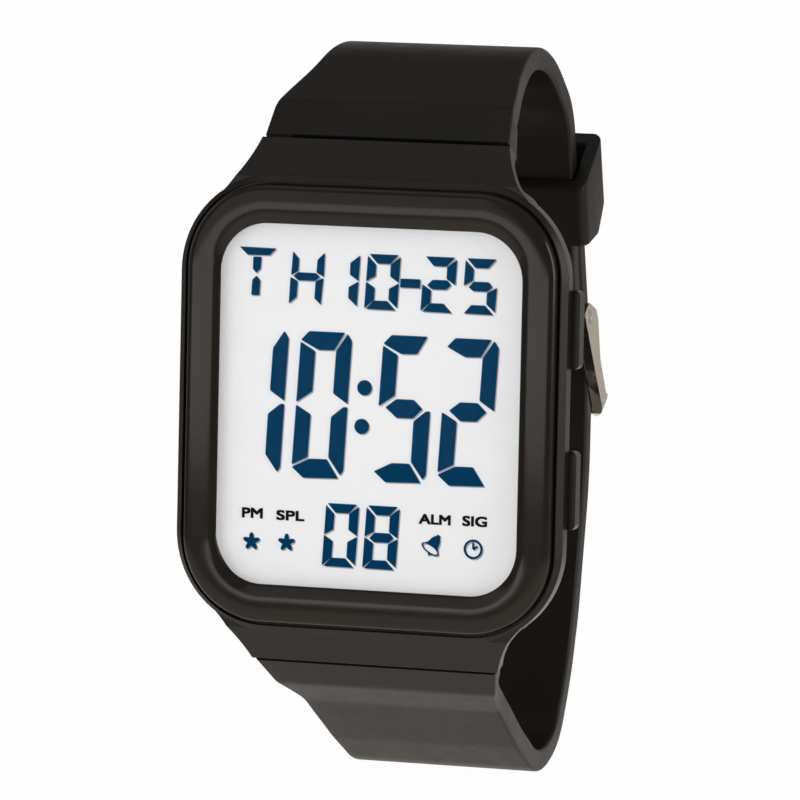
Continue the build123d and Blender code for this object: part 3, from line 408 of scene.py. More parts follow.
class Graph:
    """The nodes of one material or of the world."""

    def __init__(self, owner: str | bpy.types.World) -> None:
        """Start a new material of that name, or empty the world's nodes."""
        self.owner = bpy.data.materials.new(owner) if isinstance(owner, str) else owner
        self.owner.use_nodes = True
        self.tree = self.owner.node_tree
        self.tree.nodes.clear()

    def node(self, kind: str, settings: dict | None = None, inputs: dict | None = None, output: int | str = 0) -> Value:
        """Add one node.

        Args:
            kind: The node's type.
            settings: Its properties, set first.
            inputs: Values or links by socket name or number.
            output: Which of its outputs is wanted.

        Returns:
            The wanted output.
        """
        made = self.tree.nodes.new(kind)
        for name, value in (settings or {}).items():
            setattr(made, name, value)
        for name, value in (inputs or {}).items():
            if isinstance(value, Value):
                self.tree.links.new(value.socket, made.inputs[name])
            elif isinstance(value, tuple) and made.inputs[name].type == "RGBA":
                made.inputs[name].default_value = (*value, 1.0)
            else:
                made.inputs[name].default_value = value
        return Value(self, made.outputs[output])

    def place(self) -> Value:
        """Return the object coordinates, in metres."""
        return self.node("ShaderNodeTexCoord", output="Object")

    def stretched(self, scale: Place) -> Value:
        """Return the object coordinates multiplied by a scale for each axis."""
        return self.node("ShaderNodeMapping", None, {"Vector": self.place(), "Scale": scale})

    def noise(self, size: float, detail: float = 2.0, where: Value | None = None) -> Value:
        """Return a noise whose features have about the given size in millimetres."""
        inputs = {"Vector": where or self.place(), "Scale": 1 / (size * MM), "Detail": detail, "Roughness": 0.55}
        return self.node("ShaderNodeTexNoise", None, inputs, "Fac")

    def mix(self, share: Value | float, first: Colour | Value, second: Colour | Value) -> Value:
        """Return a colour between two others."""
        inputs = {"Factor": share, 6: first, 7: second}
        return self.node("ShaderNodeMix", {"data_type": "RGBA"}, inputs, 2)

    def relief(self, height: Value, depth: float, rounding: float) -> Value:
        """Return the normal of a relief on edges rounded by the given radius.

        Args:
            height: The relief's height from zero to one.
            depth: The millimetres that a height of one stands for.
            rounding: The radius in millimetres at which edges look rounded.

        Returns:
            The bumped normal.
        """
        edge = self.node("ShaderNodeBevel", {"samples": 4}, {"Radius": rounding * MM})
        inputs = {"Height": height, "Distance": depth * MM, "Strength": 1.0, "Normal": edge}
        return self.node("ShaderNodeBump", None, inputs)

    def surface(self, **inputs: "Value | float | Colour") -> bpy.types.Material:
        """Close the material with one principled shader of the given inputs and return it."""
        named = {name.replace("_", " "): value for name, value in inputs.items()}
        return self.close(self.node("ShaderNodeBsdfPrincipled", None, named))

    def light(self, kind: str, colour: Colour, strength: Value | float) -> Value:
        """Return an emission or a background of a colour and a strength."""
        return self.node(f"ShaderNode{kind}", None, {"Color": colour, "Strength": strength})

    def blend(self, share: Value, first: Value, second: Value) -> Value:
        """Return the shader that passes from the first to the second by a share."""
        return self.node("ShaderNodeMixShader", None, {0: share, 1: first, 2: second})

    def rays(self) -> tuple[Value, Value]:
        """Return whether a ray comes from the camera or through glass, and whether it is glossy."""
        camera, glossy, through = (self.node("ShaderNodeLightPath", output=ray) for ray in SEEN_RAYS)
        return (camera + through).clipped(), glossy

    def close(self, shader: Value) -> bpy.types.Material | bpy.types.World:
        """Join a shader to the output and return the material or the world."""
        kind = "ShaderNodeOutputWorld" if isinstance(self.owner, bpy.types.World) else "ShaderNodeOutputMaterial"
        self.tree.links.new(shader.socket, self.tree.nodes.new(kind).inputs["Surface"])
        return self.owner


# Finishes


SEEN_RAYS = ("Is Camera Ray", "Is Glossy Ray", "Is Transmission Ray")
WHITE: Colour = (1.0, 1.0, 1.0)
BLACK: Colour = (0.0, 0.0, 0.0)
MIRRORED: Colour = (1.0, 0.93, 0.86)


def scaled(colour: Colour, share: float) -> Colour:
    """Return a colour made lighter or darker."""
    return tuple(share * part for part in colour)


@dataclass(frozen=True)
class MouldedResin:
    """Satin moulded resin: a dark body, a faint cloudiness and a fine blasted grain."""

    dark: Colour
    light: Colour
    roughness: float
    grain_size: float = 0.16
    grain_depth: float = 0.006
    rounding: float = 0.12
    sheen: float = 0.3
    tint: Colour = (1.0, 0.93, 0.85)
    bending: float = 1.5

    def material(self, name: str) -> bpy.types.Material:
        """Return the finish as a material of that name."""
        graph = Graph(name)
        cloud = graph.noise(6.0, 2.0)
        grain = graph.noise(self.grain_size, 3.0)
        rubbed = graph.noise(1.4, 3.0)
        return graph.surface(
            Base_Color=graph.mix(cloud, self.dark, self.light),
            Roughness=self.roughness + 0.12 * (rubbed - 0.5) + 0.10 * (grain - 0.5),
            Normal=graph.relief(grain, self.grain_depth, self.rounding),
            Specular_IOR_Level=self.sheen,
            Specular_Tint=self.tint,
            IOR=self.bending,
        )


@dataclass(frozen=True)
class LacqueredResin:
    """Polished dark resin under a clear lacquer, with a slight orange-peel relief."""

    colour: Colour
    roughness: float
    coat: float
    sheen: float = 0.3
    rounding: float = 0.2
    tint: Colour = (1.0, 0.91, 0.82)

    def material(self, name: str) -> bpy.types.Material:
        """Return the finish as a material of that name."""
        graph = Graph(name)
        peel = graph.noise(2.2, 1.0)
        smear = graph.noise(7.0, 3.0)
        dust = graph.noise(0.12, 2.0)
        return graph.surface(
            Base_Color=graph.mix(smear, self.colour, scaled(self.colour, 1.35)),
            Roughness=self.roughness + 0.08 * (smear - 0.5) + 0.03 * (dust - 0.5),
            Normal=graph.relief(peel, 0.006, self.rounding),
            Specular_IOR_Level=self.sheen,
            Specular_Tint=self.tint,
            Coat_Weight=self.coat,
            Coat_Roughness=0.12,
        )


@dataclass(frozen=True)
class PlainPlastic:
    """Plain moulded plastic or paint with a slight mottling."""

    colour: Colour
    roughness: float
    mottle: float = 0.08
    rounding: float = 0.08
    sheen: float = 0.4

    def material(self, name: str) -> bpy.types.Material:
        """Return the finish as a material of that name."""
        graph = Graph(name)
        mottling = graph.noise(1.5, 3.0)
        return graph.surface(
            Base_Color=graph.mix(mottling, scaled(self.colour, 1 - 2 * self.mottle), self.colour),
            Roughness=self.roughness + 0.1 * (mottling - 0.5),
            Normal=graph.relief(graph.noise(0.3, 2.0), 0.003, self.rounding),
            Specular_IOR_Level=self.sheen,
        )


@dataclass(frozen=True)
class BrushedMetal:
    """Metal with fine lines along one axis and slightly rounded edges."""

    colour: Colour
    roughness: float
    lines: Place = (1.0, 14.0, 14.0)
    depth: float = 0.004

    def material(self, name: str) -> bpy.types.Material:
        """Return the finish as a material of that name."""
        graph = Graph(name)
        brushing = graph.noise(0.8, 3.0, graph.stretched(self.lines))
        tarnish = graph.noise(3.0, 2.0)
        return graph.surface(
            Base_Color=graph.mix(tarnish, scaled(self.colour, 0.82), self.colour),
            Metallic=1.0,
            Roughness=self.roughness + 0.12 * (brushing - 0.5),
            Normal=graph.relief(brushing, self.depth, 0.1),
        )


@dataclass(frozen=True)
class DisplayFilm:
    """The pale reflective film behind the display, faintly grained, with a painted glow that makes it evenly brighter
    than the lamps make it.
    """

    colour: Colour
    glow: float

    def material(self, name: str) -> bpy.types.Material:
        """Return the finish as a material of that name."""
        graph = Graph(name)
        grain = graph.noise(0.2, 2.0)
        cloud = graph.noise(9.0, 1.0)
        film = graph.mix(0.5 * grain + 0.5 * cloud, scaled(self.colour, 0.97), self.colour)
        return graph.surface(
            # painted light: the film's emission makes it brighter and evens out its shading
            Base_Color=film, Roughness=0.45 + 0.1 * (grain - 0.5), Emission_Color=film, Emission_Strength=self.glow,
            Normal=graph.relief(grain, 0.001, 0.02),
        )


@dataclass(frozen=True)
class ClearGlass:
    """Thin clear glass or acrylic: mostly see-through, with faint wipe marks in its gloss."""

    colour: Colour
    opacity: float

    def material(self, name: str) -> bpy.types.Material:
        """Return the finish as a material of that name."""
        graph = Graph(name)
        wiped = graph.noise(5.0, 3.0, graph.stretched((1.0, 1.0, 3.0)))
        return graph.surface(
            Base_Color=graph.mix(wiped, self.colour, scaled(self.colour, 1.1)),
            Roughness=0.03 + 0.05 * wiped,
            Alpha=self.opacity + 0.02 * wiped,
        )


@dataclass(frozen=True)
class CircuitLacquer:
    """Green solder lacquer over copper tracks that run in short straight lines."""

    green: Colour
    copper: Colour

    def material(self, name: str) -> bpy.types.Material:
        """Return the finish as a material of that name."""
        graph = Graph(name)
        cells = {"Vector": graph.place(), "Scale": 450.0}
        tracks = graph.node("ShaderNodeTexVoronoi", {"feature": "DISTANCE_TO_EDGE"}, cells, "Distance")
        line = (1 - 9 * tracks).clipped()
        return graph.surface(
            Base_Color=graph.mix(0.4 * line, self.green, self.copper),
            Roughness=0.35 + 0.1 * graph.noise(0.8),
            Normal=graph.relief(line, 0.01, 0.05),
        )


@dataclass(frozen=True)
class WhiteFloor:
    """A white floor that reads as pure white to the camera but keeps the watch's shadow.

    Glossy surfaces see it warm: brightest near the watch, grey far behind it and dim
    elsewhere.
    """

    share: float
    near: float = 0.75
    behind: float = 0.3
    dim: float = 0.15
    near_to: float = 0.1
    fades_over: float = 0.12
    steepness: float = 0.4
    paint: Colour = (0.9, 0.9, 0.9)

    def material(self, name: str) -> bpy.types.Material:
        """Return the finish as a material of that name."""
        graph = Graph(name)
        seen, glossy = graph.rays()
        spot = graph.place()
        reach = graph.node("ShaderNodeVectorMath", {"operation": "LENGTH"}, {0: spot}, "Value")
        depth = graph.node("ShaderNodeSeparateXYZ", None, {0: spot}, "Y") / reach
        far = ((reach - self.near_to) / self.fades_over).clipped()
        back = (depth / self.steepness).clipped()
        mirrored = (self.dim + self.near * (1 - far) + self.behind * far * back).clipped()
        plain = graph.node("ShaderNodeBsdfDiffuse", None, {"Color": self.paint})
        shown = graph.blend(self.share * seen, plain, graph.light("Emission", WHITE, 1.0))
        gloss = graph.blend(mirrored, graph.light("Emission", BLACK, 0.0), graph.light("Emission", MIRRORED, 1.0))
        return graph.close(graph.blend(glossy, shown, gloss))


class Finish(Enum):
    """The finishes of the watch, each with the name of its slot in the record."""

    CASE = "case_resin"
    BEZEL = "bezel_gloss"
    CRYSTAL = "crystal_clear"
    DISPLAY = "display_glass"
    PALE = "pale_plastic"
    DARK = "dark_plastic"
    BOARD = "board_green"
    LAMP = "lamp_yellow"
    RUBBER = "black_rubber"
    STRAP = "strap_resin"
    STEEL = "steel"
    BUCKLE = "buckle_steel"
    BRASS = "sounder_brass"
    SEGMENT = "segment_ink"
    LEGEND = "legend_ink"
    SHADE = "segment_shade"


class Body(Enum):
    """The moving bodies that pieces ride on."""

    WATCH = "watch"
    KEEPER = "keeper"
    BUTTON_UPPER_LEFT = "button_upper_left"
    BUTTON_LOWER_LEFT = "button_lower_left"


class Palette:
    """Every finish of the watch as a material."""

    def __init__(self) -> None:
        """Build the materials."""
        recipes = {
            Finish.CASE: MouldedResin(written(22, 21, 20), written(29, 27, 25), 0.3, sheen=0.3),
            Finish.BEZEL: LacqueredResin(written(24, 21, 18), 0.14, 0.1),
            Finish.CRYSTAL: ClearGlass(written(40, 44, 48), 0.02),
            # painted light: the display film glows, though it is no lamp
            Finish.DISPLAY: DisplayFilm(written(214, 214, 215), 0.46),
            Finish.PALE: PlainPlastic(written(225, 225, 220), 0.45),
            Finish.DARK: PlainPlastic(written(38, 38, 40), 0.5),
            Finish.BOARD: CircuitLacquer(written(20, 84, 48), written(150, 140, 70)),
            Finish.LAMP: PlainPlastic(written(235, 205, 90), 0.35),
            Finish.RUBBER: PlainPlastic(written(26, 26, 27), 0.7),
            Finish.STRAP: MouldedResin(
                written(22, 21, 20), written(29, 27, 25), 0.42, 0.2, 0.008, 0.1, sheen=0.5, bending=1.3,
            ),
            Finish.STEEL: BrushedMetal(written(200, 200, 198), 0.3),
            Finish.BUCKLE: BrushedMetal(written(238, 230, 220), 0.14, (14.0, 1.0, 1.0), 0.002),
            Finish.BRASS: BrushedMetal(written(205, 165, 90), 0.35),
            Finish.SEGMENT: PlainPlastic(written(0, 59, 96), 0.5, 0.02, 0.02, 0.0),
            Finish.LEGEND: PlainPlastic(written(16, 16, 18), 0.5, 0.05, 0.02, 0.05),
            # painted shadow of the figures on the display film
            Finish.SHADE: PlainPlastic(written(178, 184, 192), 0.6, 0.02, 0.02, 0.05),
        }
        self.materials = {finish: recipe.material(finish.value) for finish, recipe in recipes.items()}

    def dress(
        self, shape: Surface, name: str, finish: Finish, body: Body, nodes: tuple[str, ...] = (),
        sharp_above: float = 40.0, even: bool = False,
    ) -> None:
        """Make a finished piece of a shape, fix it to its body, hide what it stands for and log it.

        Args:
            shape: The closed surface.
            name: The piece's name.
            finish: The piece's finish, and its slot if it stands for solids.
            body: The body that it moves with.
            nodes: The solids that the piece stands for.
            sharp_above: The angle in degrees above which an edge stays sharp.
            even: Whether the shading is weighted by the faces' sizes, so that flat faces look flat.
        """
        piece = shape.to_object(name, self.materials[finish], sharp_above)
        if even:
            step = piece.modifiers.new("even", "WEIGHTED_NORMAL")
            step.keep_sharp, step.weight = True, 80
            mesh = baked(piece)
            piece.modifiers.clear()
            mesh.name, piece.data = piece.data.name, mesh
        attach(piece, body.value)
        if nodes:
            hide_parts(*nodes)
        LOG.info("%s rides on %s, %d faces", name, body.value, len(piece.data.polygons))


# Bezel


@dataclass
class Bezel:
    """The glossy bezel: a pillow from the window's eased edge to a rolled outer edge."""

    palette: Palette
    window_half_width: float = 14.86
    window_half_length: float = 17.07
    window_corner: float = 4.6
    border_side: float = 3.35
    border_end: float = 3.68
    outer_corner: float = 8.0
    low_edge: float = 1.7
    lip: float = 0.5
    seat: float = 1.0
    front_profile: Pairs = (
        (0.0, 0.46), (0.008, 0.42), (0.03, 0.375), (0.08, 0.305), (0.14, 0.225), (0.20, 0.15),
        (0.26, 0.09), (0.32, 0.05), (0.39, 0.023), (0.47, 0.008), (0.56, 0.0), (0.65, 0.006),
        (0.74, 0.03), (0.82, 0.08), (0.89, 0.17), (0.945, 0.31), (0.98, 0.55), (1.0, 0.95),
    )

    def profile(self) -> Array:
        """Return the closed section as shares of the border and depths, from the window outwards."""
        seat_share = self.seat / self.border_side
        behind = [(1.0, self.low_edge), (seat_share, self.low_edge), (seat_share, self.lip), (0.0, self.lip)]
        front = np.array(self.front_profile)
        knots = np.linspace(0, 1, len(front))
        fine = np.linspace(0, 1, 52)
        smooth = np.stack([smooth_through(knots, front[:, axis], fine) for axis in (0, 1)], axis=-1)
        return np.vstack([smooth, behind])

    def surface(self) -> Surface:
        """Carry the section round the window: each ring's sizes grow with the section's share."""
        share, depth = self.profile().T
        rings = rounded_rings(
            self.window_half_width + share * self.border_side, self.window_half_length + share * self.border_end,
            self.window_corner + share * (self.outer_corner - self.window_corner), 24, 8,
        )
        return ring_solid(front_points(rings, depth[:, None]))

    def build(self) -> None:
        """Make the bezel and set it in the case."""
        self.palette.dress(self.surface(), "bezel_pillow", Finish.BEZEL, Body.WATCH, ("bezel",))


# Display


LIT = {0: "abcdef", 1: "bc", 2: "abged", 5: "afgcd", 8: "abcdefg"}

# Each corner is a side of the figure, a step from it, a level and a step from that: the
# side is 0 at the left and 1 at the right, the level -1, 0 or 1 from bottom to top.
TALL_STROKES = {
    "a": ((0, 0.03, 1, -0.82), (0, 0.77, 1, 0.0), (1, -0.77, 1, 0.0), (1, -1.68, 1, -1.68), (0, 1.86, 1, -1.72)),
    "f": ((0, 0.0, 1, -1.05), (0, 1.49, 1, -1.87), (0, 1.49, 0, 1.28), (0, 0.0, 0, 0.23)),
    "b": ((1, -0.47, 1, -0.12), (1, 0.0, 1, -0.75), (1, 0.0, 0, 0.28), (1, -1.47, 0, 1.2), (1, -1.47, 1, -1.75)),
    "g": (
        (0, 0.68, 0, 0.14), (0, 1.7, 0, 0.95), (1, -1.65, 0, 0.95), (1, -0.74, 0, 0.14), (1, -1.62, 0, -0.78),
        (0, 1.83, 0, -0.8),
    ),
    "e": ((0, 0.0, 0, -0.07), (0, 1.49, 0, -0.9), (0, 1.49, -1, 2.0), (0, 0.0, -1, 1.25)),
    "c": (
        (1, 0.03, 0, -0.07), (1, 0.07, -1, 0.9), (1, -0.2, -1, 0.45), (1, -1.47, -1, 2.08), (1, -1.5, 0, -1.05),
        (1, -0.35, 0, -0.06),
    ),
    "d": ((0, 0.02, -1, 1.0), (0, 1.69, -1, 1.85), (1, -1.63, -1, 1.86), (1, -0.39, -1, 0.12), (0, 1.19, -1, 0.04)),
}
SHORT_STROKES = {
    "a": ((0, 0.2, 1, 0.0), (1, -0.27, 1, 0.0), (1, -0.93, 1, -0.8), (0, 0.97, 1, -0.8)),
    "f": ((0, 0.0, 1, -0.24), (0, 0.8, 1, -0.98), (0, 0.8, 0, 0.55), (0, 0.0, 0, 0.08)),
    "b": ((1, 0.0, 1, -0.22), (1, 0.0, 0, 0.08), (1, -0.82, 0, 0.6), (1, -0.85, 1, -0.9)),
    "g": (
        (0, 0.49, 0, -0.08), (0, 0.96, 0, 0.41), (1, -0.79, 0, 0.41), (1, -0.42, 0, 0.02), (1, -0.82, 0, -0.41),
        (0, 0.92, 0, -0.41),
    ),
    "e": ((0, 0.0, 0, -0.09), (0, 0.83, 0, -0.59), (0, 0.83, -1, 0.88), (0, 0.0, -1, 0.13)),
    "c": ((1, 0.02, 0, -0.1), (1, 0.0, -1, 0.27), (1, -0.81, -1, 0.95), (1, -0.84, 0, -0.61)),
    "d": ((0, 0.24, -1, 0.03), (0, 0.84, -1, 0.78), (1, -0.99, -1, 0.78), (1, -0.18, -1, 0.0)),
}


@dataclass(frozen=True)
class FigureStyle:
    """The size and strokes of one kind of seven-stroke figure."""

    strokes: dict[str, tuple[tuple[float, float, float, float], ...]]
    width: float
    half_height: float
    rounding: float
    growth: float = 0.0
    slant: float = 0.056

    def outlines(self, lit: str, left: float, middle: float) -> list[Array]:
        """Return the lit strokes' outlines in the front view.

        A corner's place is its side times the width plus its step, and its level times the
        half height plus its step; then every point slides along with its height.

        Args:
            lit: The letters of the lit strokes.
            left: The figure's left side at its middle height.
            middle: The figure's middle height.

        Returns:
            One outline per lit stroke.
        """
        lines = []
        for letter in lit:
            side, step, level, rise = np.array(self.strokes[letter]).T
            height = level * self.half_height + rise
            across = left + side * self.width + step + self.slant * height
            corners = counter_clockwise(np.stack([across, middle + height], axis=-1))
            lines.append(softened(grown(corners, self.growth), self.rounding))
        return lines


@dataclass
class Display:
    """The figures, legends and small signs of the display, thin plates on its glass."""

    palette: Palette
    front: float = 1.515
    back: float = 1.6
    tall: FigureStyle = FigureStyle(TALL_STROKES, 5.05, 6.95, 0.12, 0.01)
    short: FigureStyle = FigureStyle(SHORT_STROKES, 3.15, 2.57, 0.06, 0.035)
    seconds: FigureStyle = FigureStyle(SHORT_STROKES, 3.2, 2.96, 0.06, 0.035)
    time_figures: tuple[tuple[int, float], ...] = ((1, -13.75), (0, -7.47), (5, 0.7), (2, 6.97))
    date_figures: tuple[tuple[int, float], ...] = ((1, -4.74), (0, -0.76), (2, 4.79), (5, 8.85))
    second_figures: tuple[tuple[int, float], ...] = ((0, -4.4), (8, -0.38))
    colon: Pairs = ((-0.73, 1.91), (-0.93, -1.75))
    colon_radius: float = 0.72
    weight: float = 0.045
    # painted shadow: the figures are copied in pale grey, shifted right, back and down, to stand for their shadow on
    # the film
    painted_shadow_shift: Place = (0.12, 0.06, -0.12)
    stars: Pairs = ((-11.67, -13.20), (-8.16, -13.13))
    star_radius: float = 0.86
    bell_sign: tuple[Pair, float] = ((6.1, -12.95), 0.98)
    clock_sign: tuple[Pair, float] = ((10.31, -12.74), 0.92)
    hands: Pairs = ((0.0, 0.62), (0.42, 0.3))
    hand_half_width: float = 0.085
    ring_width: float = 0.2
    stroke_rounding: float = 0.07
    legends: tuple[tuple[str, float, float, float, float], ...] = (
        ("PM", -12.67, -10.60, -10.99, -10.01), ("SPL", -9.22, -6.43, -11.04, -10.07),
        ("ALM", 4.91, 8.04, -10.63, -9.67), ("SIG", 9.20, 11.62, -10.61, -9.62),
    )
    time_middle: float = 0.04
    date_middle: float = 11.92
    seconds_middle: float = -12.16
    day_strokes: tuple[Pairs, ...] = (
        ((-13.40, 14.68), (-9.75, 14.64), (-10.41, 13.97), (-12.62, 13.95)),
        ((-12.04, 13.78), (-11.22, 13.79), (-11.30, 12.68), (-11.71, 12.26), (-12.06, 12.63)),
        ((-11.70, 11.99), (-11.30, 11.59), (-11.38, 10.16), (-12.17, 10.15), (-12.10, 11.59)),
        ((-8.08, 14.44), (-7.48, 13.83), (-7.54, 12.62), (-8.24, 12.22)),
        ((-8.29, 12.00), (-7.57, 11.66), (-7.67, 10.14), (-8.42, 9.52)),
        ((-7.98, 12.12), (-7.55, 12.50), (-5.77, 12.48), (-5.38, 12.14), (-5.83, 11.75), (-7.54, 11.74)),
        ((-4.93, 14.43), (-5.00, 12.19), (-5.72, 12.56), (-5.64, 13.75)),
        ((-5.03, 12.05), (-5.26, 9.53), (-5.88, 10.11), (-5.79, 11.72)),
    )
    dash: Pairs = ((2.61, 12.34), (4.55, 12.34), (4.52, 11.51), (2.57, 11.51))

    def figures(self) -> list[Array]:
        """Return every figure's strokes, the day's letters, the dash and the colon's dots."""
        lines = [softened(np.array(stroke), self.stroke_rounding) for stroke in (*self.day_strokes, self.dash)]
        rows = (
            (self.time_figures, self.tall, self.time_middle), (self.date_figures, self.short, self.date_middle),
            (self.second_figures, self.seconds, self.seconds_middle),
        )
        for places, style, middle in rows:
            for figure, left in places:
                lines.extend(style.outlines(LIT[figure], left, middle))
        return lines + [self.colon_radius * unit_circle(32) + np.array(centre) for centre in self.colon]

    @staticmethod
    def star(centre: Pair, radius: float) -> Array:
        """Return a five-petalled star: the radius swells with the cosine of five times the angle."""
        turn = np.linspace(0, 2 * math.pi, 81)[:-1]
        reach = radius * (0.75 + 0.25 * np.cos(5 * turn))
        upright = turn + math.pi / 2
        return np.stack([reach * np.cos(upright), reach * np.sin(upright)], axis=-1) + np.array(centre)

    @staticmethod
    def bell(centre: Pair, size: float, tilt: float = 32.9) -> list[Array]:
        """Return a tilted bell: a solid dome over an open oval mouth, and a clapper.

        The mouth is a ring between two ellipses. The dome's side is a table of half widths by
        height, mirrored, and it closes along the upper half of the inner ellipse.

        Args:
            centre: The middle of the mouth.
            size: Half of the mouth's width.
            tilt: The angle in degrees by which the bell leans to the right.

        Returns:
            The outlines of the dome, the mouth's lower rim and the clapper.
        """
        side = np.array([
            (1.0, 0.03), (0.84, 0.2), (0.64, 0.4), (0.54, 0.7), (0.48, 1.0), (0.36, 1.25), (0.2, 1.42), (0.17, 1.6),
        ])
        turn = np.linspace(0, math.pi, 25)
        inner = np.stack([0.84 * np.cos(turn), 0.3 * np.sin(turn)], axis=-1)
        outer = np.stack([np.cos(turn), 0.43 * np.sin(turn)], axis=-1)
        dome = np.vstack([side, side[::-1] * np.array([-1, 1]), inner[::-1]])
        rim = np.vstack([outer * np.array([1, -1]), inner[::-1] * np.array([1, -1])])
        clapper = np.array([(0.0, -0.36), (0.36, -0.34), (0.2, -0.68)])
        lean = math.radians(tilt)
        spin = np.array([[math.cos(lean), -math.sin(lean)], [math.sin(lean), math.cos(lean)]])
        return [size * line @ spin + np.array(centre) for line in (dome, rim, clapper)]

    def clock(self, centre: Pair, radius: float) -> Surface:
        """Return a round clock sign: a ring and two hands."""
        wide = radius - self.ring_width * np.array([0, 1, 1, 0])
        rings = rounded_rings(wide, wide, wide - 0.001, 12, 1) + np.array(centre)
        ring = ring_solid(front_points(rings, np.array([self.front, self.front, self.back, self.back])[:, None]))
        middle = np.array(centre)
        for along in np.array(self.hands):
            beside = self.hand_half_width * np.array([along[1], -along[0]]) / np.linalg.norm(along)
            hand = np.array([middle - beside, middle + beside, middle + along + beside, middle + along - beside])
            ring = ring.joined(plate(hand, self.front, self.back))
        return ring

    def build(self) -> None:
        """Make the figures, the small signs, a shifted pale grey copy of them as their painted shadow, and the legends.
        """
        lines = self.figures()
        lines += [self.star(centre, self.star_radius) for centre in self.stars]
        lines += self.bell(*self.bell_sign)
        sheet = self.clock(*self.clock_sign)
        # a pale grey copy of every figure, shifted, is painted as their shadow
        shade = sheet.shifted(self.painted_shadow_shift)
        for line in lines:
            mark = plate(line, self.front, self.back)
            sheet, shade = sheet.joined(mark), shade.joined(mark.shifted(self.painted_shadow_shift))
        self.palette.dress(sheet, "display_figures", Finish.SEGMENT, Body.WATCH)
        self.palette.dress(shade, "display_shades", Finish.SHADE, Body.WATCH)
        for word, left, right, low, high in self.legends:
            self.legend(word, (left, right), (low, high))

    def legend(self, word: str, across: Pair, along: Pair) -> None:
        """Make one printed legend, fitted to its place in the front view.

        The letters are set four times, shifted by their weight to each diagonal side, so
        that their strokes read as bold.

        Args:
            word: The letters.
            across: The left and right ends of the word.
            along: The bottom and top of its letters.
        """
        curve = bpy.data.curves.new(word, "FONT")
        curve.body, curve.size, curve.extrude = word, 1.0, 0.02
        draft = placed(word, curve)
        mesh = baked(draft)
        bpy.data.objects.remove(draft)
        shape = read_surface(mesh)
        bpy.data.meshes.remove(mesh)
        low, high = shape.points.min(axis=0), shape.points.max(axis=0)
        share = (shape.points - low) / (high - low)
        x = across[0] + self.weight + share[:, 0] * (across[1] - across[0] - 2 * self.weight)
        z = along[0] + self.weight + share[:, 1] * (along[1] - along[0] - 2 * self.weight)
        y = at_depth(self.back - share[:, 2] * (self.back - self.front))
        letters = np.stack([x, y, z], axis=-1)
        shifts = self.weight * np.array([(1, 0, 1), (1, 0, -1), (-1, 0, 1), (-1, 0, -1)])
        heavy = Surface(letters + shifts[0], caps=shape.caps)
        for index, shift in enumerate(shifts[1:], 1):
            step = np.array([0, 0.002 * index, 0])
            heavy = heavy.joined(Surface(letters + shift + step, caps=shape.caps))
        self.palette.dress(heavy, "legend_" + word.lower(), Finish.LEGEND, Body.WATCH, sharp_above=20.0)


# Strap


def path_length(path: Array) -> Array:
    """Return how far along the path each point lies."""
    return np.r_[0, np.cumsum(np.linalg.norm(np.diff(path, axis=0), axis=1))]


def read_along(wanted: Array | float, length: Array, pairs: Array) -> Array:
    """Return the pairs of numbers at the wanted lengths, each blended between its neighbours."""
    return np.stack([np.interp(wanted, length, pairs[:, axis]) for axis in (0, 1)], axis=-1)


@dataclass(frozen=True)
class BentPath:
    """A side-view path of straight runs joined by tangent arcs, as depths and heights."""

    corners: Pairs
    radii: tuple[float, ...]

    def points(self, step: float) -> Array:
        """Return points along the path.

        Each arc starts and ends at the corner's distance of radius times the tangent of half
        the turn; its points are the centre plus the radius turned through the bend.

        Args:
            step: The wanted distance between points.

        Returns:
            Depths and heights, evenly spaced along the path.
        """
        corners = np.array(self.corners)
        runs = np.diff(corners, axis=0)
        runs /= np.linalg.norm(runs, axis=1, keepdims=True)
        pieces = [corners[:1]]
        for corner, before, after, radius in zip(corners[1:-1], runs[:-1], runs[1:], self.radii):
            turn = math.atan2(before[0] * after[1] - before[1] * after[0], before @ after)
            reach = radius * math.tan(abs(turn) / 2)
            start = corner - reach * before
            inward = math.copysign(1, turn) * np.array([-before[1], before[0]])
            angle = np.linspace(0, turn, max(4, int(abs(turn) * radius / 0.1)))[:, None]
            spoke = -np.cos(angle) * inward + np.sin(np.abs(angle)) * before
            pieces.append(start + radius * (inward + spoke))
        rough = np.vstack(pieces + [corners[-1:]])
        length = path_length(rough)
        return read_along(np.linspace(0, length[-1], int(length[-1] / step) + 2), length, rough)


def path_normals(path: Array) -> Array:
    """Return each point's normal, the tangent turned to the right-hand side."""
    tangent = np.gradient(path, axis=0)
    tangent /= np.linalg.norm(tangent, axis=1, keepdims=True)
    return np.stack([tangent[:, 1], -tangent[:, 0]], axis=-1)


def strap_section(flat: int, corner: int, wall: int) -> tuple[Array, Array, Array, Array]:
    """Return the strap's section as shares: a rounded rectangle walked once round.

    A point's distance from the middle is its span times the flat half width plus the corner
    radius times its reach, and its depth under the surface is its level times the straight
    wall plus the corner radius times one less its rise. The second half of the walk is the
    first turned by half a turn.

    Args:
        flat: Points across the top and across the bottom.
        corner: Points on each corner.
        wall: Points on each wall.

    Returns:
        The span, level, reach and rise of each point.
    """
    turn = np.radians(np.linspace(90, 0, corner))
    back = turn[::-1][1:-1]
    line, drop = np.linspace(-1, 1, flat)[:-1], np.linspace(0, 1, wall)[1:]
    span = np.r_[line, np.ones(corner + len(drop) + len(back))]
    level = np.r_[np.zeros(len(line) + corner), drop, np.ones(len(back))]
    reach = np.r_[np.zeros(len(line)), np.cos(turn), np.ones(len(drop)), np.cos(back)]
    rise = np.r_[np.ones(len(line)), np.sin(turn), np.zeros(len(drop)), -np.sin(back)]
    return np.r_[span, -span], np.r_[level, 1 - level], np.r_[reach, -reach], np.r_[rise, -rise]


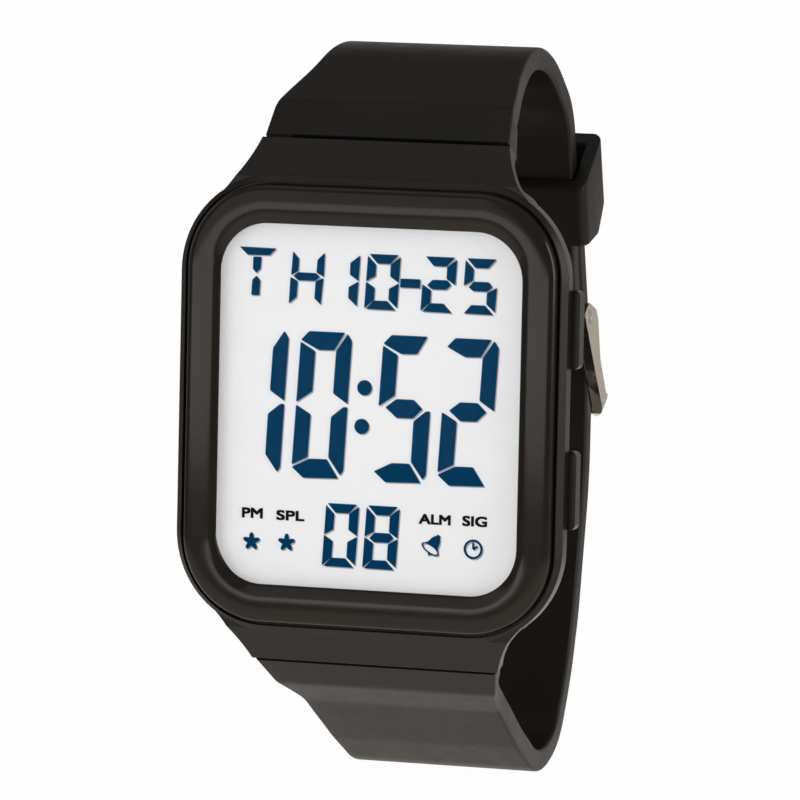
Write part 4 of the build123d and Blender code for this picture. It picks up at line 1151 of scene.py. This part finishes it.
@dataclass
class StrapHalf:
    """One half of the strap: a band carried along its bent path, narrowing in plan."""

    corners: Pairs
    radii: tuple[float, ...]
    run_thickness: tuple[float, ...]
    widths: Pairs
    up: int
    corner: float = 0.32
    step: float = 0.3
    seam_gap: float = 0.12
    tip_round: float = 0.0
    heel: float = 0.9
    heel_length: float = 3.4

    def path(self) -> Array:
        """Return the outer surface's path beyond the seam."""
        line = BentPath(self.corners, self.radii).points(self.step)
        seam = np.array(self.corners[1])
        leaving = seam - np.array(self.corners[0])
        leaving /= np.linalg.norm(leaving)
        along = (line - seam) @ leaving
        kept = (along > self.seam_gap) | (np.arange(len(line)) > len(line) // 3)
        return line[kept]

    def thickness(self, path: Array) -> Array:
        """Return the thickness along the path.

        It is each run's own at its middle, blended between, plus a heel at the seam that
        fades with the square of the share of its length that is left.
        """
        corners = np.array(self.corners)[1:]
        nearest = np.argmin(np.linalg.norm(path[None] - corners[:, None], axis=-1), axis=1)
        place = path_length(path)[nearest]
        middles = (place[:-1] + place[1:]) / 2
        left = np.clip(1 - path_length(path) / self.heel_length, 0, 1)
        return np.interp(path_length(path), middles, self.run_thickness) + self.heel * left**2

    def half_width(self, path: Array) -> Array:
        """Return half the width along the path: set by the depth, rounded off at the tip."""
        depths, halves = np.array(self.widths).T
        half = smooth_through(depths, halves, path[:, 0])
        plain = np.minimum(half, np.interp(path[:, 0], depths, halves))
        half = np.where(np.arange(len(path)) > len(path) // 2, plain, half)
        if self.tip_round:
            left = np.clip(self.tip_round - (path_length(path)[-1] - path_length(path)), 0, self.tip_round)
            half = half - self.tip_round + np.sqrt(self.tip_round**2 - left**2)
        return half

    def surface(self) -> Surface:
        """Carry the section along the path: across by the width, inwards by the thickness."""
        path = self.path()
        inward = path_normals(path)
        thickness, half = self.thickness(path), self.half_width(path)
        span, level, reach, rise = strap_section(9, 6, 4)
        across = span * (half[:, None] - self.corner) + self.corner * reach
        under = level * (thickness[:, None] - 2 * self.corner) + self.corner * (1 - rise)
        place = path[:, None] + under[..., None] * inward[:, None]
        points = np.stack([across, at_depth(place[..., 0]), self.up * place[..., 1]], axis=-1)
        return capped_solid(points)


def side_prism(outline: Array, left: float, right: float, up: int = 1) -> Surface:
    """Return a prism along X of a side-view outline given as depths and heights."""
    ends = [np.stack([np.full(len(outline), x), at_depth(outline[:, 0]), up * outline[:, 1]], axis=-1)
            for x in (left, right)]
    return capped_solid(np.stack(ends))


def side_circle(centre: Pair, radius: float, count: int = 48) -> Array:
    """Return a circle in the side view."""
    return np.array(centre) + radius * unit_circle(count)


@dataclass
class Strap:
    """Both strap halves with their roots, holes and buckle end, and the keeper."""

    palette: Palette
    loop_depth: float = 44.0
    loop_top: float = 35.8
    loop_bottom: float = 37.72
    seam_depth: float = 4.0
    seam_upper: float = 25.0
    seam_lower: float = 24.6
    shoulder_start: Pair = (1.35, 21.4)
    bar_from_seam: float = 2.3
    bar_below: float = 2.3
    knuckle: float = 1.45
    root_half_width: float = 9.6
    root_reach: float = 0.6
    root_depth: float = 2.6
    run_depth: float = 34.9
    run_height: float = 25.1
    run_angle: float = 15.5
    bar_height: float = 7.0
    back_half_width: float = 9.0
    keeper_half_width: float = 9.65
    keeper_low: float = -2.3
    keeper_high: float = 2.35
    keeper_wall: float = 1.35
    keeper_inner_wall: float = 1.1
    keeper_corner: float = 0.9
    keeper_inner_corner: float = 0.35
    keeper_ease: float = 0.28
    keeper_bend: float = 0.6
    keeper_starts: Pair = (4.9, 1.4)
    keeper_finishes: Place = (10.9, 10.9, 7.9)
    tail_gap: float = 0.15
    tail_thickness: float = 2.0
    tip_height: float = 22.3
    upper_front: Pairs = ((0.143, 0.304), (0.517, 1.0))
    upper_back: float = 0.768
    upper_radii: tuple[float, ...] = (0.09, 0.07, 0.33, 0.2)
    lower_front: Pairs = (
        (0.168, 0.206), (0.282, 0.373), (0.459, 0.724), (0.577, 0.925), (0.66, 1.0),
    )
    lower_back: Pairs = ((0.788, 0.949), (0.928, 0.681), (1.0, 0.268))
    lower_radii: tuple[float, ...] = (0.09, 0.08, 0.2, 0.5, 0.2, 0.2, 0.165, 0.5, 0.77, 0.41)
    upper_widths: Pairs = (
        (0.182, 0.938), (0.295, 0.857), (0.42, 0.811), (0.57, 0.785), (0.75, 0.779), (0.818, 0.772), (0.877, 0.738),
    )
    lower_widths: Pairs = (
        (0.132, 0.944), (0.19, 0.88), (0.26, 0.82), (0.36, 0.797), (0.5, 0.775), (0.738, 0.76),
        (0.87, 0.757), (0.92, 0.744),
    )
    upper_thickness: tuple[float, ...] = (2.7, 2.3, 2.1, 2.1)
    lower_thickness: tuple[float, ...] = (2.5, 2.3, 2.3, 2.3, 2.2, 2.1, 2.1, 2.1, 2.0, 2.0)
    tip_round: float = 6.0
    seam_half_width: float = 12.2
    band_start: float = 12.08
    lug_bore: float = 0.8
    buckle_bore: float = 0.7
    tongue_slot: tuple[float, float, float, float] = (4.0, 2.2, -4.0, 2.05)
    tongue_length: float = 7.1
    tongue_angle: float = 34.8
    cutter_reach: float = 14.0
    hole_reach: float = 5.0
    sharp_above: float = 50.0
    hole_half_width: float = 2.3
    hole_length: float = 3.4
    hole_corner: float = 1.5
    hole_pitch: float = 6.4
    hole_count: int = 10

    def seam_step(self, seam: float) -> Array:
        """Return the direction in which the surface leaves the case at a seam."""
        step = np.array([self.seam_depth, seam]) - np.array(self.shoulder_start)
        return step / np.linalg.norm(step)

    def seam_point(self, seam: float, along: Array | float, outward: Array | float) -> Array:
        """Return the depth and height of points set out from a seam."""
        step = self.seam_step(seam)
        return np.stack([
            self.seam_depth + np.multiply(along, step[0]) - np.multiply(outward, step[1]),
            seam + np.multiply(along, step[1]) + np.multiply(outward, step[0]),
        ], axis=-1)

    def back_run(self, height: float, outward: float) -> float:
        """Return the depth of a point on the straight back run."""
        lean = math.radians(self.run_angle)
        return self.run_depth + (self.run_height - height) * math.tan(lean) + outward / math.cos(lean)

    def buckle_bar(self) -> Pair:
        """Return the depth and height of the buckle's bar."""
        lean = math.radians(self.run_angle)
        depth = self.back_run(self.bar_height, 0) - self.knuckle * math.cos(lean)
        return depth, self.bar_height - self.knuckle * math.sin(lean)

    def widths(self, shares: Pairs) -> Pairs:
        """Return half widths by depth from shares of the loop's depth and the seam's half width."""
        middle = tuple((depth * self.loop_depth, width * self.seam_half_width) for depth, width in shares)
        return ((self.seam_depth, self.band_start), *middle)

    def half(self, seam: float, front: Pairs, reach: float, ends: Pairs, shares: tuple[float, ...]) -> dict:
        """Return the corners and radii of a half's band.

        Args:
            seam: How far the seam is from the middle.
            front: The corners up to the loop's end, as shares of the loop's depth and of the way there.
            reach: How far the loop's end is from the middle.
            ends: The corners that follow.
            shares: The bends' radii as shares of the loop's depth.

        Returns:
            The arguments of the band's path.
        """
        start = tuple(self.seam_point(seam, -self.bar_from_seam, 0.0))
        bends = tuple((depth * self.loop_depth, seam + rise * (reach - seam)) for depth, rise in front)
        corners = (start, (self.seam_depth, seam), *bends, *ends)
        return {"corners": corners, "radii": tuple(share * self.loop_depth for share in shares)}

    def upper_half(self) -> StrapHalf:
        """Return the 12 o'clock half's band."""
        corner = self.upper_back * self.loop_top
        ends = ((self.back_run(corner, 0), corner), (self.back_run(self.bar_height, 0), self.bar_height))
        path = self.half(self.seam_upper, self.upper_front, self.loop_top, ends, self.upper_radii)
        return StrapHalf(**path, run_thickness=self.upper_thickness, widths=self.widths(self.upper_widths), up=1)

    def lower_half(self) -> StrapHalf:
        """Return the 6 o'clock half's band, drawn upside down."""
        back = tuple((depth * self.loop_depth, height * self.loop_bottom) for depth, height in self.lower_back)
        lean = math.radians(self.run_angle)
        rise = self.tail_gap + self.tail_thickness
        corner = self.run_height - (self.loop_depth - self.run_depth - rise / math.cos(lean)) / math.tan(lean)
        ends = (*back, (self.loop_depth, -corner), (self.back_run(self.tip_height, rise), -self.tip_height))
        path = self.half(self.seam_lower, self.lower_front, self.loop_bottom, ends, self.lower_radii)
        widths = self.widths(self.lower_widths)
        return StrapHalf(**path, run_thickness=self.lower_thickness, widths=widths, up=-1, tip_round=self.tip_round)

    def root(self, seam: float, up: int) -> Surface:
        """Return the lowered tongue of a half that wraps round its lug bar."""
        arc = np.radians(np.linspace(90, 270, 25))
        along = np.r_[self.root_reach, -self.bar_from_seam + self.knuckle * np.cos(arc), self.root_reach]
        round_bar = -self.bar_below + self.knuckle * np.sin(arc)
        outward = np.r_[self.knuckle - self.bar_below, round_bar, -self.root_depth]
        outline = self.seam_point(seam, along, outward)
        return side_prism(outline, -self.root_half_width, self.root_half_width, up)

    def root_steps(self, seam: float, up: int) -> list[tuple[Carving, Surface]]:
        """Return the steps that join the root to a half and bore it for the lug bar."""
        bar = self.seam_point(seam, -self.bar_from_seam, -self.bar_below)
        bore = side_prism(side_circle(tuple(bar), self.lug_bore), -self.cutter_reach, self.cutter_reach, up)
        return [(Carving.JOIN, self.root(seam, up)), (Carving.CUT, bore)]

    def build_upper(self) -> None:
        """Make the half that carries the buckle and the keeper."""
        steps = self.root_steps(self.seam_upper, 1)
        bar = self.buckle_bar()
        half = self.back_half_width - 0.03
        steps.append((Carving.JOIN, side_prism(side_circle(bar, self.knuckle, 46), -half, half)))
        bore = side_prism(side_circle(bar, self.buckle_bore), -self.cutter_reach, self.cutter_reach)
        reach, high, low, beside = self.tongue_slot
        slot = np.array([(-reach, high), (reach, high), (reach, low), (-reach, low)]) + np.array(bar)
        steps += [(Carving.CUT, bore), (Carving.CUT, side_prism(slot, -beside, beside))]
        shape = carved(self.upper_half().surface(), steps)
        self.palette.dress(shape, "strap_short_half", Finish.STRAP, Body.WATCH, ("strap_upper",), self.sharp_above)

    def build_lower(self) -> None:
        """Make the half with the tail and its holes."""
        half = self.lower_half()
        steps = self.root_steps(self.seam_lower, -1) + [(Carving.CUT, hole) for hole in self.holes(half)]
        shape = carved(half.surface(), steps)
        self.palette.dress(shape, "strap_long_half", Finish.STRAP, Body.WATCH, ("strap_lower",), self.sharp_above)

    def holes(self, half: StrapHalf) -> list[Surface]:
        """Return the holes' cutters, spaced along the path from the one at the buckle."""
        path = half.path()[::-1]
        length = path_length(path)
        normals = path_normals(path)
        angle = math.radians(self.tongue_angle)
        depth, height = self.buckle_bar()
        ahead, down = self.tongue_length * math.sin(angle), self.tongue_length * math.cos(angle)
        target = np.array([depth + ahead, -(height - down)])
        first = length[np.argmin(np.linalg.norm(path - target, axis=1))]
        outline = rounded_outline(self.hole_half_width, self.hole_length / 2, self.hole_corner, 8, 1)
        tools = []
        for index in range(-int(first / self.hole_pitch), self.hole_count - int(first / self.hole_pitch)):
            place = first + index * self.hole_pitch
            centre, normal = read_along(place, length, path), read_along(place, length, normals)
            tangent = np.array([-normal[1], normal[0]])
            ends = []
            for out in (-self.hole_reach, self.hole_reach):
                spot = centre + out * normal + outline[:, 1:] * tangent
                ends.append(np.stack([outline[:, 0], at_depth(spot[:, 0]), -spot[:, 1]], axis=-1))
            tools.append(capped_solid(np.stack(ends)))
        return tools

    def keeper(self) -> Surface:
        """Return the keeper: a rounded box section round both straps with slanted, eased ends.

        Each point lies on a ring between the outer and the inner outline; its place along
        the strap is the start for its height plus a share of the length there, and the
        ring passes from outer to inner round the eased ends.
        """
        low, high, wall, ease = self.keeper_low, self.keeper_high, self.keeper_wall, self.keeper_ease
        half = self.keeper_half_width + wall
        outer_low, outer_high = low - self.keeper_inner_wall, high + wall
        outer = rounded_outline(half, (outer_high - outer_low) / 2, self.keeper_corner, 8, 6)
        inner = rounded_outline(half - wall, (high - low) / 2, self.keeper_inner_corner, 8, 6)
        outer = outer + np.array([0, (outer_high + outer_low) / 2])
        inner = inner + np.array([0, (high + low) / 2])
        skin = ease / wall
        arc = np.radians(np.linspace(0, 90, 5))
        share, inset = skin * (1 - np.sin(arc)), ease * (1 - np.cos(arc))
        shares = np.r_[share, share[::-1], 1 - share, 1 - share[::-1]]
        insets = np.r_[inset, inset[::-1], inset, inset[::-1]]
        ends = np.repeat([0, 1, 1, 0], len(arc))
        rings = outer * (1 - shares[:, None, None]) + inner * shares[:, None, None]
        outward = rings[..., 1]
        start = np.interp(outward, [outer_low, outer_high], self.keeper_starts) + insets[:, None]
        levels = [outer_low, self.keeper_bend, outer_high]
        finish = np.interp(outward, levels, self.keeper_finishes) - insets[:, None]
        along = np.where(ends[:, None] == 0, start, finish)
        lean = math.radians(self.run_angle)
        depth = self.run_depth + along * math.sin(lean) + outward * math.cos(lean)
        height = self.run_height - along * math.cos(lean) + outward * math.sin(lean)
        return ring_solid(np.stack([rings[..., 0], at_depth(depth), height], axis=-1))

    def build(self) -> None:
        """Make both halves and the keeper."""
        self.build_upper()
        self.build_lower()
        self.palette.dress(self.keeper(), "keeper_loop", Finish.STRAP, Body.KEEPER, ("keeper",))


# Solids that are recut


@dataclass
class RecutSolids:
    """The case and the left buttons, cut finer than their solids."""

    palette: Palette
    strap: Strap
    rim_half_width: float = 18.49
    rim_half_length: float = 21.03
    rim_corner: float = 8.28
    recess_floor: float = 1.65
    recess_width: float = 0.8
    flare_from: float = 11.45
    upper_flare: float = 1.6
    lower_flare: float = 1.1
    flare_skin: float = 0.75
    button_half_width: float = 19.47
    case_outline: Place = (19.12, 21.62, 9.22)
    flare_to: float = 19.0
    flare_low: float = 18.5
    flare_bend: Pair = (0.1, 21.3)
    keep_span: Pair = (-3.0, 12.0)
    head_block: tuple[float, float, float, float] = (-3.0, 12.0, 25.0, -30.0)
    cutter_depth: float = 9.7
    cutter_height: float = 27.0
    sharp_above: float = 30.0

    def flare_cutters(self, seam: float, up: int) -> list[Surface]:
        """Return what is cut from behind both flares of a shoulder.

        In the side view it lies under the shoulder's surface, by the flare's depth at the seam
        and by a thin skin nearer to the case, whose own outline is left out of it.

        Args:
            seam: How far the seam is from the middle.
            up: 1 at 12 o'clock, -1 at 6 o'clock.

        Returns:
            The cutters for the right and the left flare.
        """
        start = self.strap.shoulder_start[0] + self.flare_skin
        depths = ((0.4, self.upper_flare if up > 0 else self.lower_flare), (-1.9, self.flare_skin))
        bent = [self.strap.seam_point(seam, along, -deep) for along, deep in depths]
        low, deep, high = self.flare_low, self.cutter_depth, self.cutter_height
        step, height = self.flare_bend
        outline = np.array([*bent, (start + step, height), (start, low), (deep, low), (deep, high)])
        keep = plate(rounded_outline(*self.case_outline, 16, 2), *self.keep_span)
        spans = ((self.flare_from, self.flare_to), (-self.flare_to, -self.flare_from))
        return [carved(side_prism(outline, left, right, up), [(Carving.CUT, keep)]) for left, right in spans]

    def build_case(self) -> None:
        """Widen the bezel's recess, which leaves a thin rim, and thin the shoulders' flares."""
        inset = np.array([0, 0, self.recess_width, self.recess_width])
        rings = rounded_rings(self.rim_half_width - inset, self.rim_half_length - inset, self.rim_corner - inset, 24, 4)
        levels = np.array([-1.0, self.recess_floor, self.recess_floor, -1.0])
        steps = [(Carving.CUT, ring_solid(front_points(rings, levels[:, None])))]
        for seam, up in ((self.strap.seam_upper, 1), (self.strap.seam_lower, -1)):
            steps += [(Carving.CUT, cutter) for cutter in self.flare_cutters(seam, up)]
        self.recut("case_body", "case_shell", steps, Body.WATCH)

    def build_buttons(self) -> None:
        """Cut the left buttons' heads down to the line of the case."""
        near, far, high, left = self.head_block
        outline = np.array([(near, -high), (far, -high), (far, high), (near, high)])
        tool = side_prism(outline, left, -self.button_half_width)
        for place, body in (("upper", Body.BUTTON_UPPER_LEFT), ("lower", Body.BUTTON_LOWER_LEFT)):
            self.recut(f"button_{place}_left", f"low_button_{place}_left", [(Carving.CUT, tool)], body)

    def recut(self, node: str, name: str, steps: list[tuple[Carving, Surface]], body: Body) -> None:
        """Make the piece of the given name and body that stands for a solid after the given steps."""
        shape = carved(read_solid(frame["nodes"][node]), steps)
        self.palette.dress(shape, name, Finish.CASE, body, (node,), self.sharp_above, even=True)

    def build(self) -> None:
        """Make the recut pieces."""
        self.build_case()
        self.build_buttons()


# Solids that stay


@dataclass
class Solids:
    """The solids whose shapes stay, each dressed in the finish of its slot."""

    palette: Palette

    def build(self) -> None:
        """Give every remaining solid its finish."""
        named = {finish.value: finish for finish in Finish}
        slots = {entry["slot"]: entry for entry in frame["record"]["materials"]}
        for name, solid in frame["nodes"].items():
            slot = self.slot_of(name, solid, slots)
            material = self.palette.materials[named[slot]]
            if not solid.data.materials:
                solid.data.materials.append(material)
            for index in range(len(solid.material_slots)):
                solid.material_slots[index].material = material
            LOG.info("%s takes %s", name, slot)

    @staticmethod
    def slot_of(name: str, solid: bpy.types.Object, slots: dict[str, dict]) -> str:
        """Return the slot that a solid's packed material names."""
        for material in solid.data.materials:
            if material is not None:
                base = material.name.split(".")[0]
                if base in slots:
                    return base
        raise ValueError(f"{name} has no known slot")


# Studio


@dataclass
class Studio:
    """The floor, the light and the camera."""

    turn: float = 18.0
    rise: float = 5.2
    roll: float = 1.26
    distance: float = 645.0
    lens: float = 309.8
    aim_right: float = 3.14
    aim_up: float = 0.98
    floor_height: float = -37.76
    floor_reach: float = 3000.0
    floor_share: float = 0.98
    room_light: float = 0.66
    dim_room: float = 0.14
    backdrop_light: float = 0.42
    backdrop_top: float = 0.6
    lamps: tuple[tuple[str, Place, Pair, float], ...] = (
        ("lamp_top", (-120, -150, 620), (500, 400), 0.2),
        ("lamp_right", (620, -160, 120), (300, 500), 2.3),
        ("lamp_front", (-330, -600, 190), (420, 420), 0.3),
        ("card_front", (-60, -180, -9), (220, 30), 0.038),
    )

    def axes(self) -> tuple[Vector, Vector, Vector]:
        """Return the view's forward, right and up directions before it is rolled."""
        turn, rise = math.radians(self.turn), math.radians(self.rise)
        forward = Vector((-math.sin(turn) * math.cos(rise), math.cos(turn) * math.cos(rise), -math.sin(rise)))
        right = Vector((math.cos(turn), math.sin(turn), 0))
        return forward, right, right.cross(forward)

    def build_camera(self) -> None:
        """Place the camera at the photograph's angle."""
        forward, right, up = self.axes()
        roll = math.radians(self.roll)
        across = right * math.cos(roll) + up * math.sin(roll)
        above = up * math.cos(roll) - right * math.sin(roll)
        aim = Vector((0, -CASE_THICKNESS, 0)) + right * self.aim_right + up * self.aim_up
        data = bpy.data.cameras.new("camera")
        data.lens, data.sensor_width, data.clip_start, data.clip_end = self.lens, 36.0, 0.01, 20.0
        camera = placed("camera", data)
        turned = Matrix((across, above, -forward)).transposed().to_4x4()
        camera.matrix_world = Matrix.Translation((aim - forward * self.distance) * MM) @ turned
        bpy.context.scene.camera = camera

    def build_floor(self) -> None:
        """Lay the white floor under the strap."""
        reach = self.floor_reach
        corners = np.array([(-reach, -reach), (reach, -reach), (reach, reach), (-reach, reach)])
        points = np.column_stack([corners, np.full(4, self.floor_height)])
        mesh = bpy.data.meshes.new("floor")
        mesh.from_pydata((points * MM).tolist(), [], [[0, 1, 2, 3]])
        mesh.materials.append(WhiteFloor(self.floor_share).material("studio_floor"))
        placed("floor", mesh)

    def build_world(self) -> None:
        """Surround the watch with a plain pale light, seen as white.

        What the camera sees directly or through glass has a strength of one. Glossy
        surfaces see a dim warm room with a grey backdrop behind the watch up to a limited
        height. All else gets the even room light.
        """
        world = bpy.data.worlds.new("studio")
        bpy.context.scene.world = world
        graph = Graph(world)
        seen, glossy = graph.rays()
        direction = graph.node("ShaderNodeTexCoord", output="Generated")
        depth, above = (graph.node("ShaderNodeSeparateXYZ", None, {0: direction}, axis) for axis in "YZ")
        backdrop = (depth / 0.4).clipped() * ((self.backdrop_top - above) / 0.3).clipped()
        plain = graph.light("Background", WHITE, seen + self.room_light * (1 - seen).clipped())
        gloss = graph.light("Background", MIRRORED, self.dim_room + self.backdrop_light * backdrop)
        graph.close(graph.blend(glossy, plain, gloss))

    def lamp(self, name: str, place: Place, size: Pair, power: float) -> None:
        """Hang one rectangular soft lamp that faces the watch.

        Args:
            name: The lamp's name.
            place: Where it hangs, in millimetres.
            size: Its two sides, in millimetres.
            power: Its power in watts.
        """
        data = bpy.data.lights.new(name, "AREA")
        data.shape, data.size, data.size_y, data.energy = "RECTANGLE", size[0] * MM, size[1] * MM, power
        lamp = placed(name, data)
        lamp.location = Vector(place) * MM
        lamp.rotation_euler = (-Vector(place)).to_track_quat("-Z", "Y").to_euler()
        lamp.visible_camera = False

    def build(self) -> None:
        """Set up the camera, the floor, the world and the lamps."""
        self.build_camera()
        self.build_floor()
        self.build_world()
        for name, place, size, power in self.lamps:
            self.lamp(name, place, size, power)
        bpy.context.scene.view_settings.view_transform = "Standard"


def main() -> None:
    """Build the watch and its studio in order."""
    logging.basicConfig(level=logging.INFO, format="%(name)s: %(message)s")
    palette = Palette()
    Studio().build()
    Solids(palette).build()
    Bezel(palette).build()
    Display(palette).build()
    strap = Strap(palette)
    strap.build()
    RecutSolids(palette, strap).build()


if __name__ == "__main__":
    main()
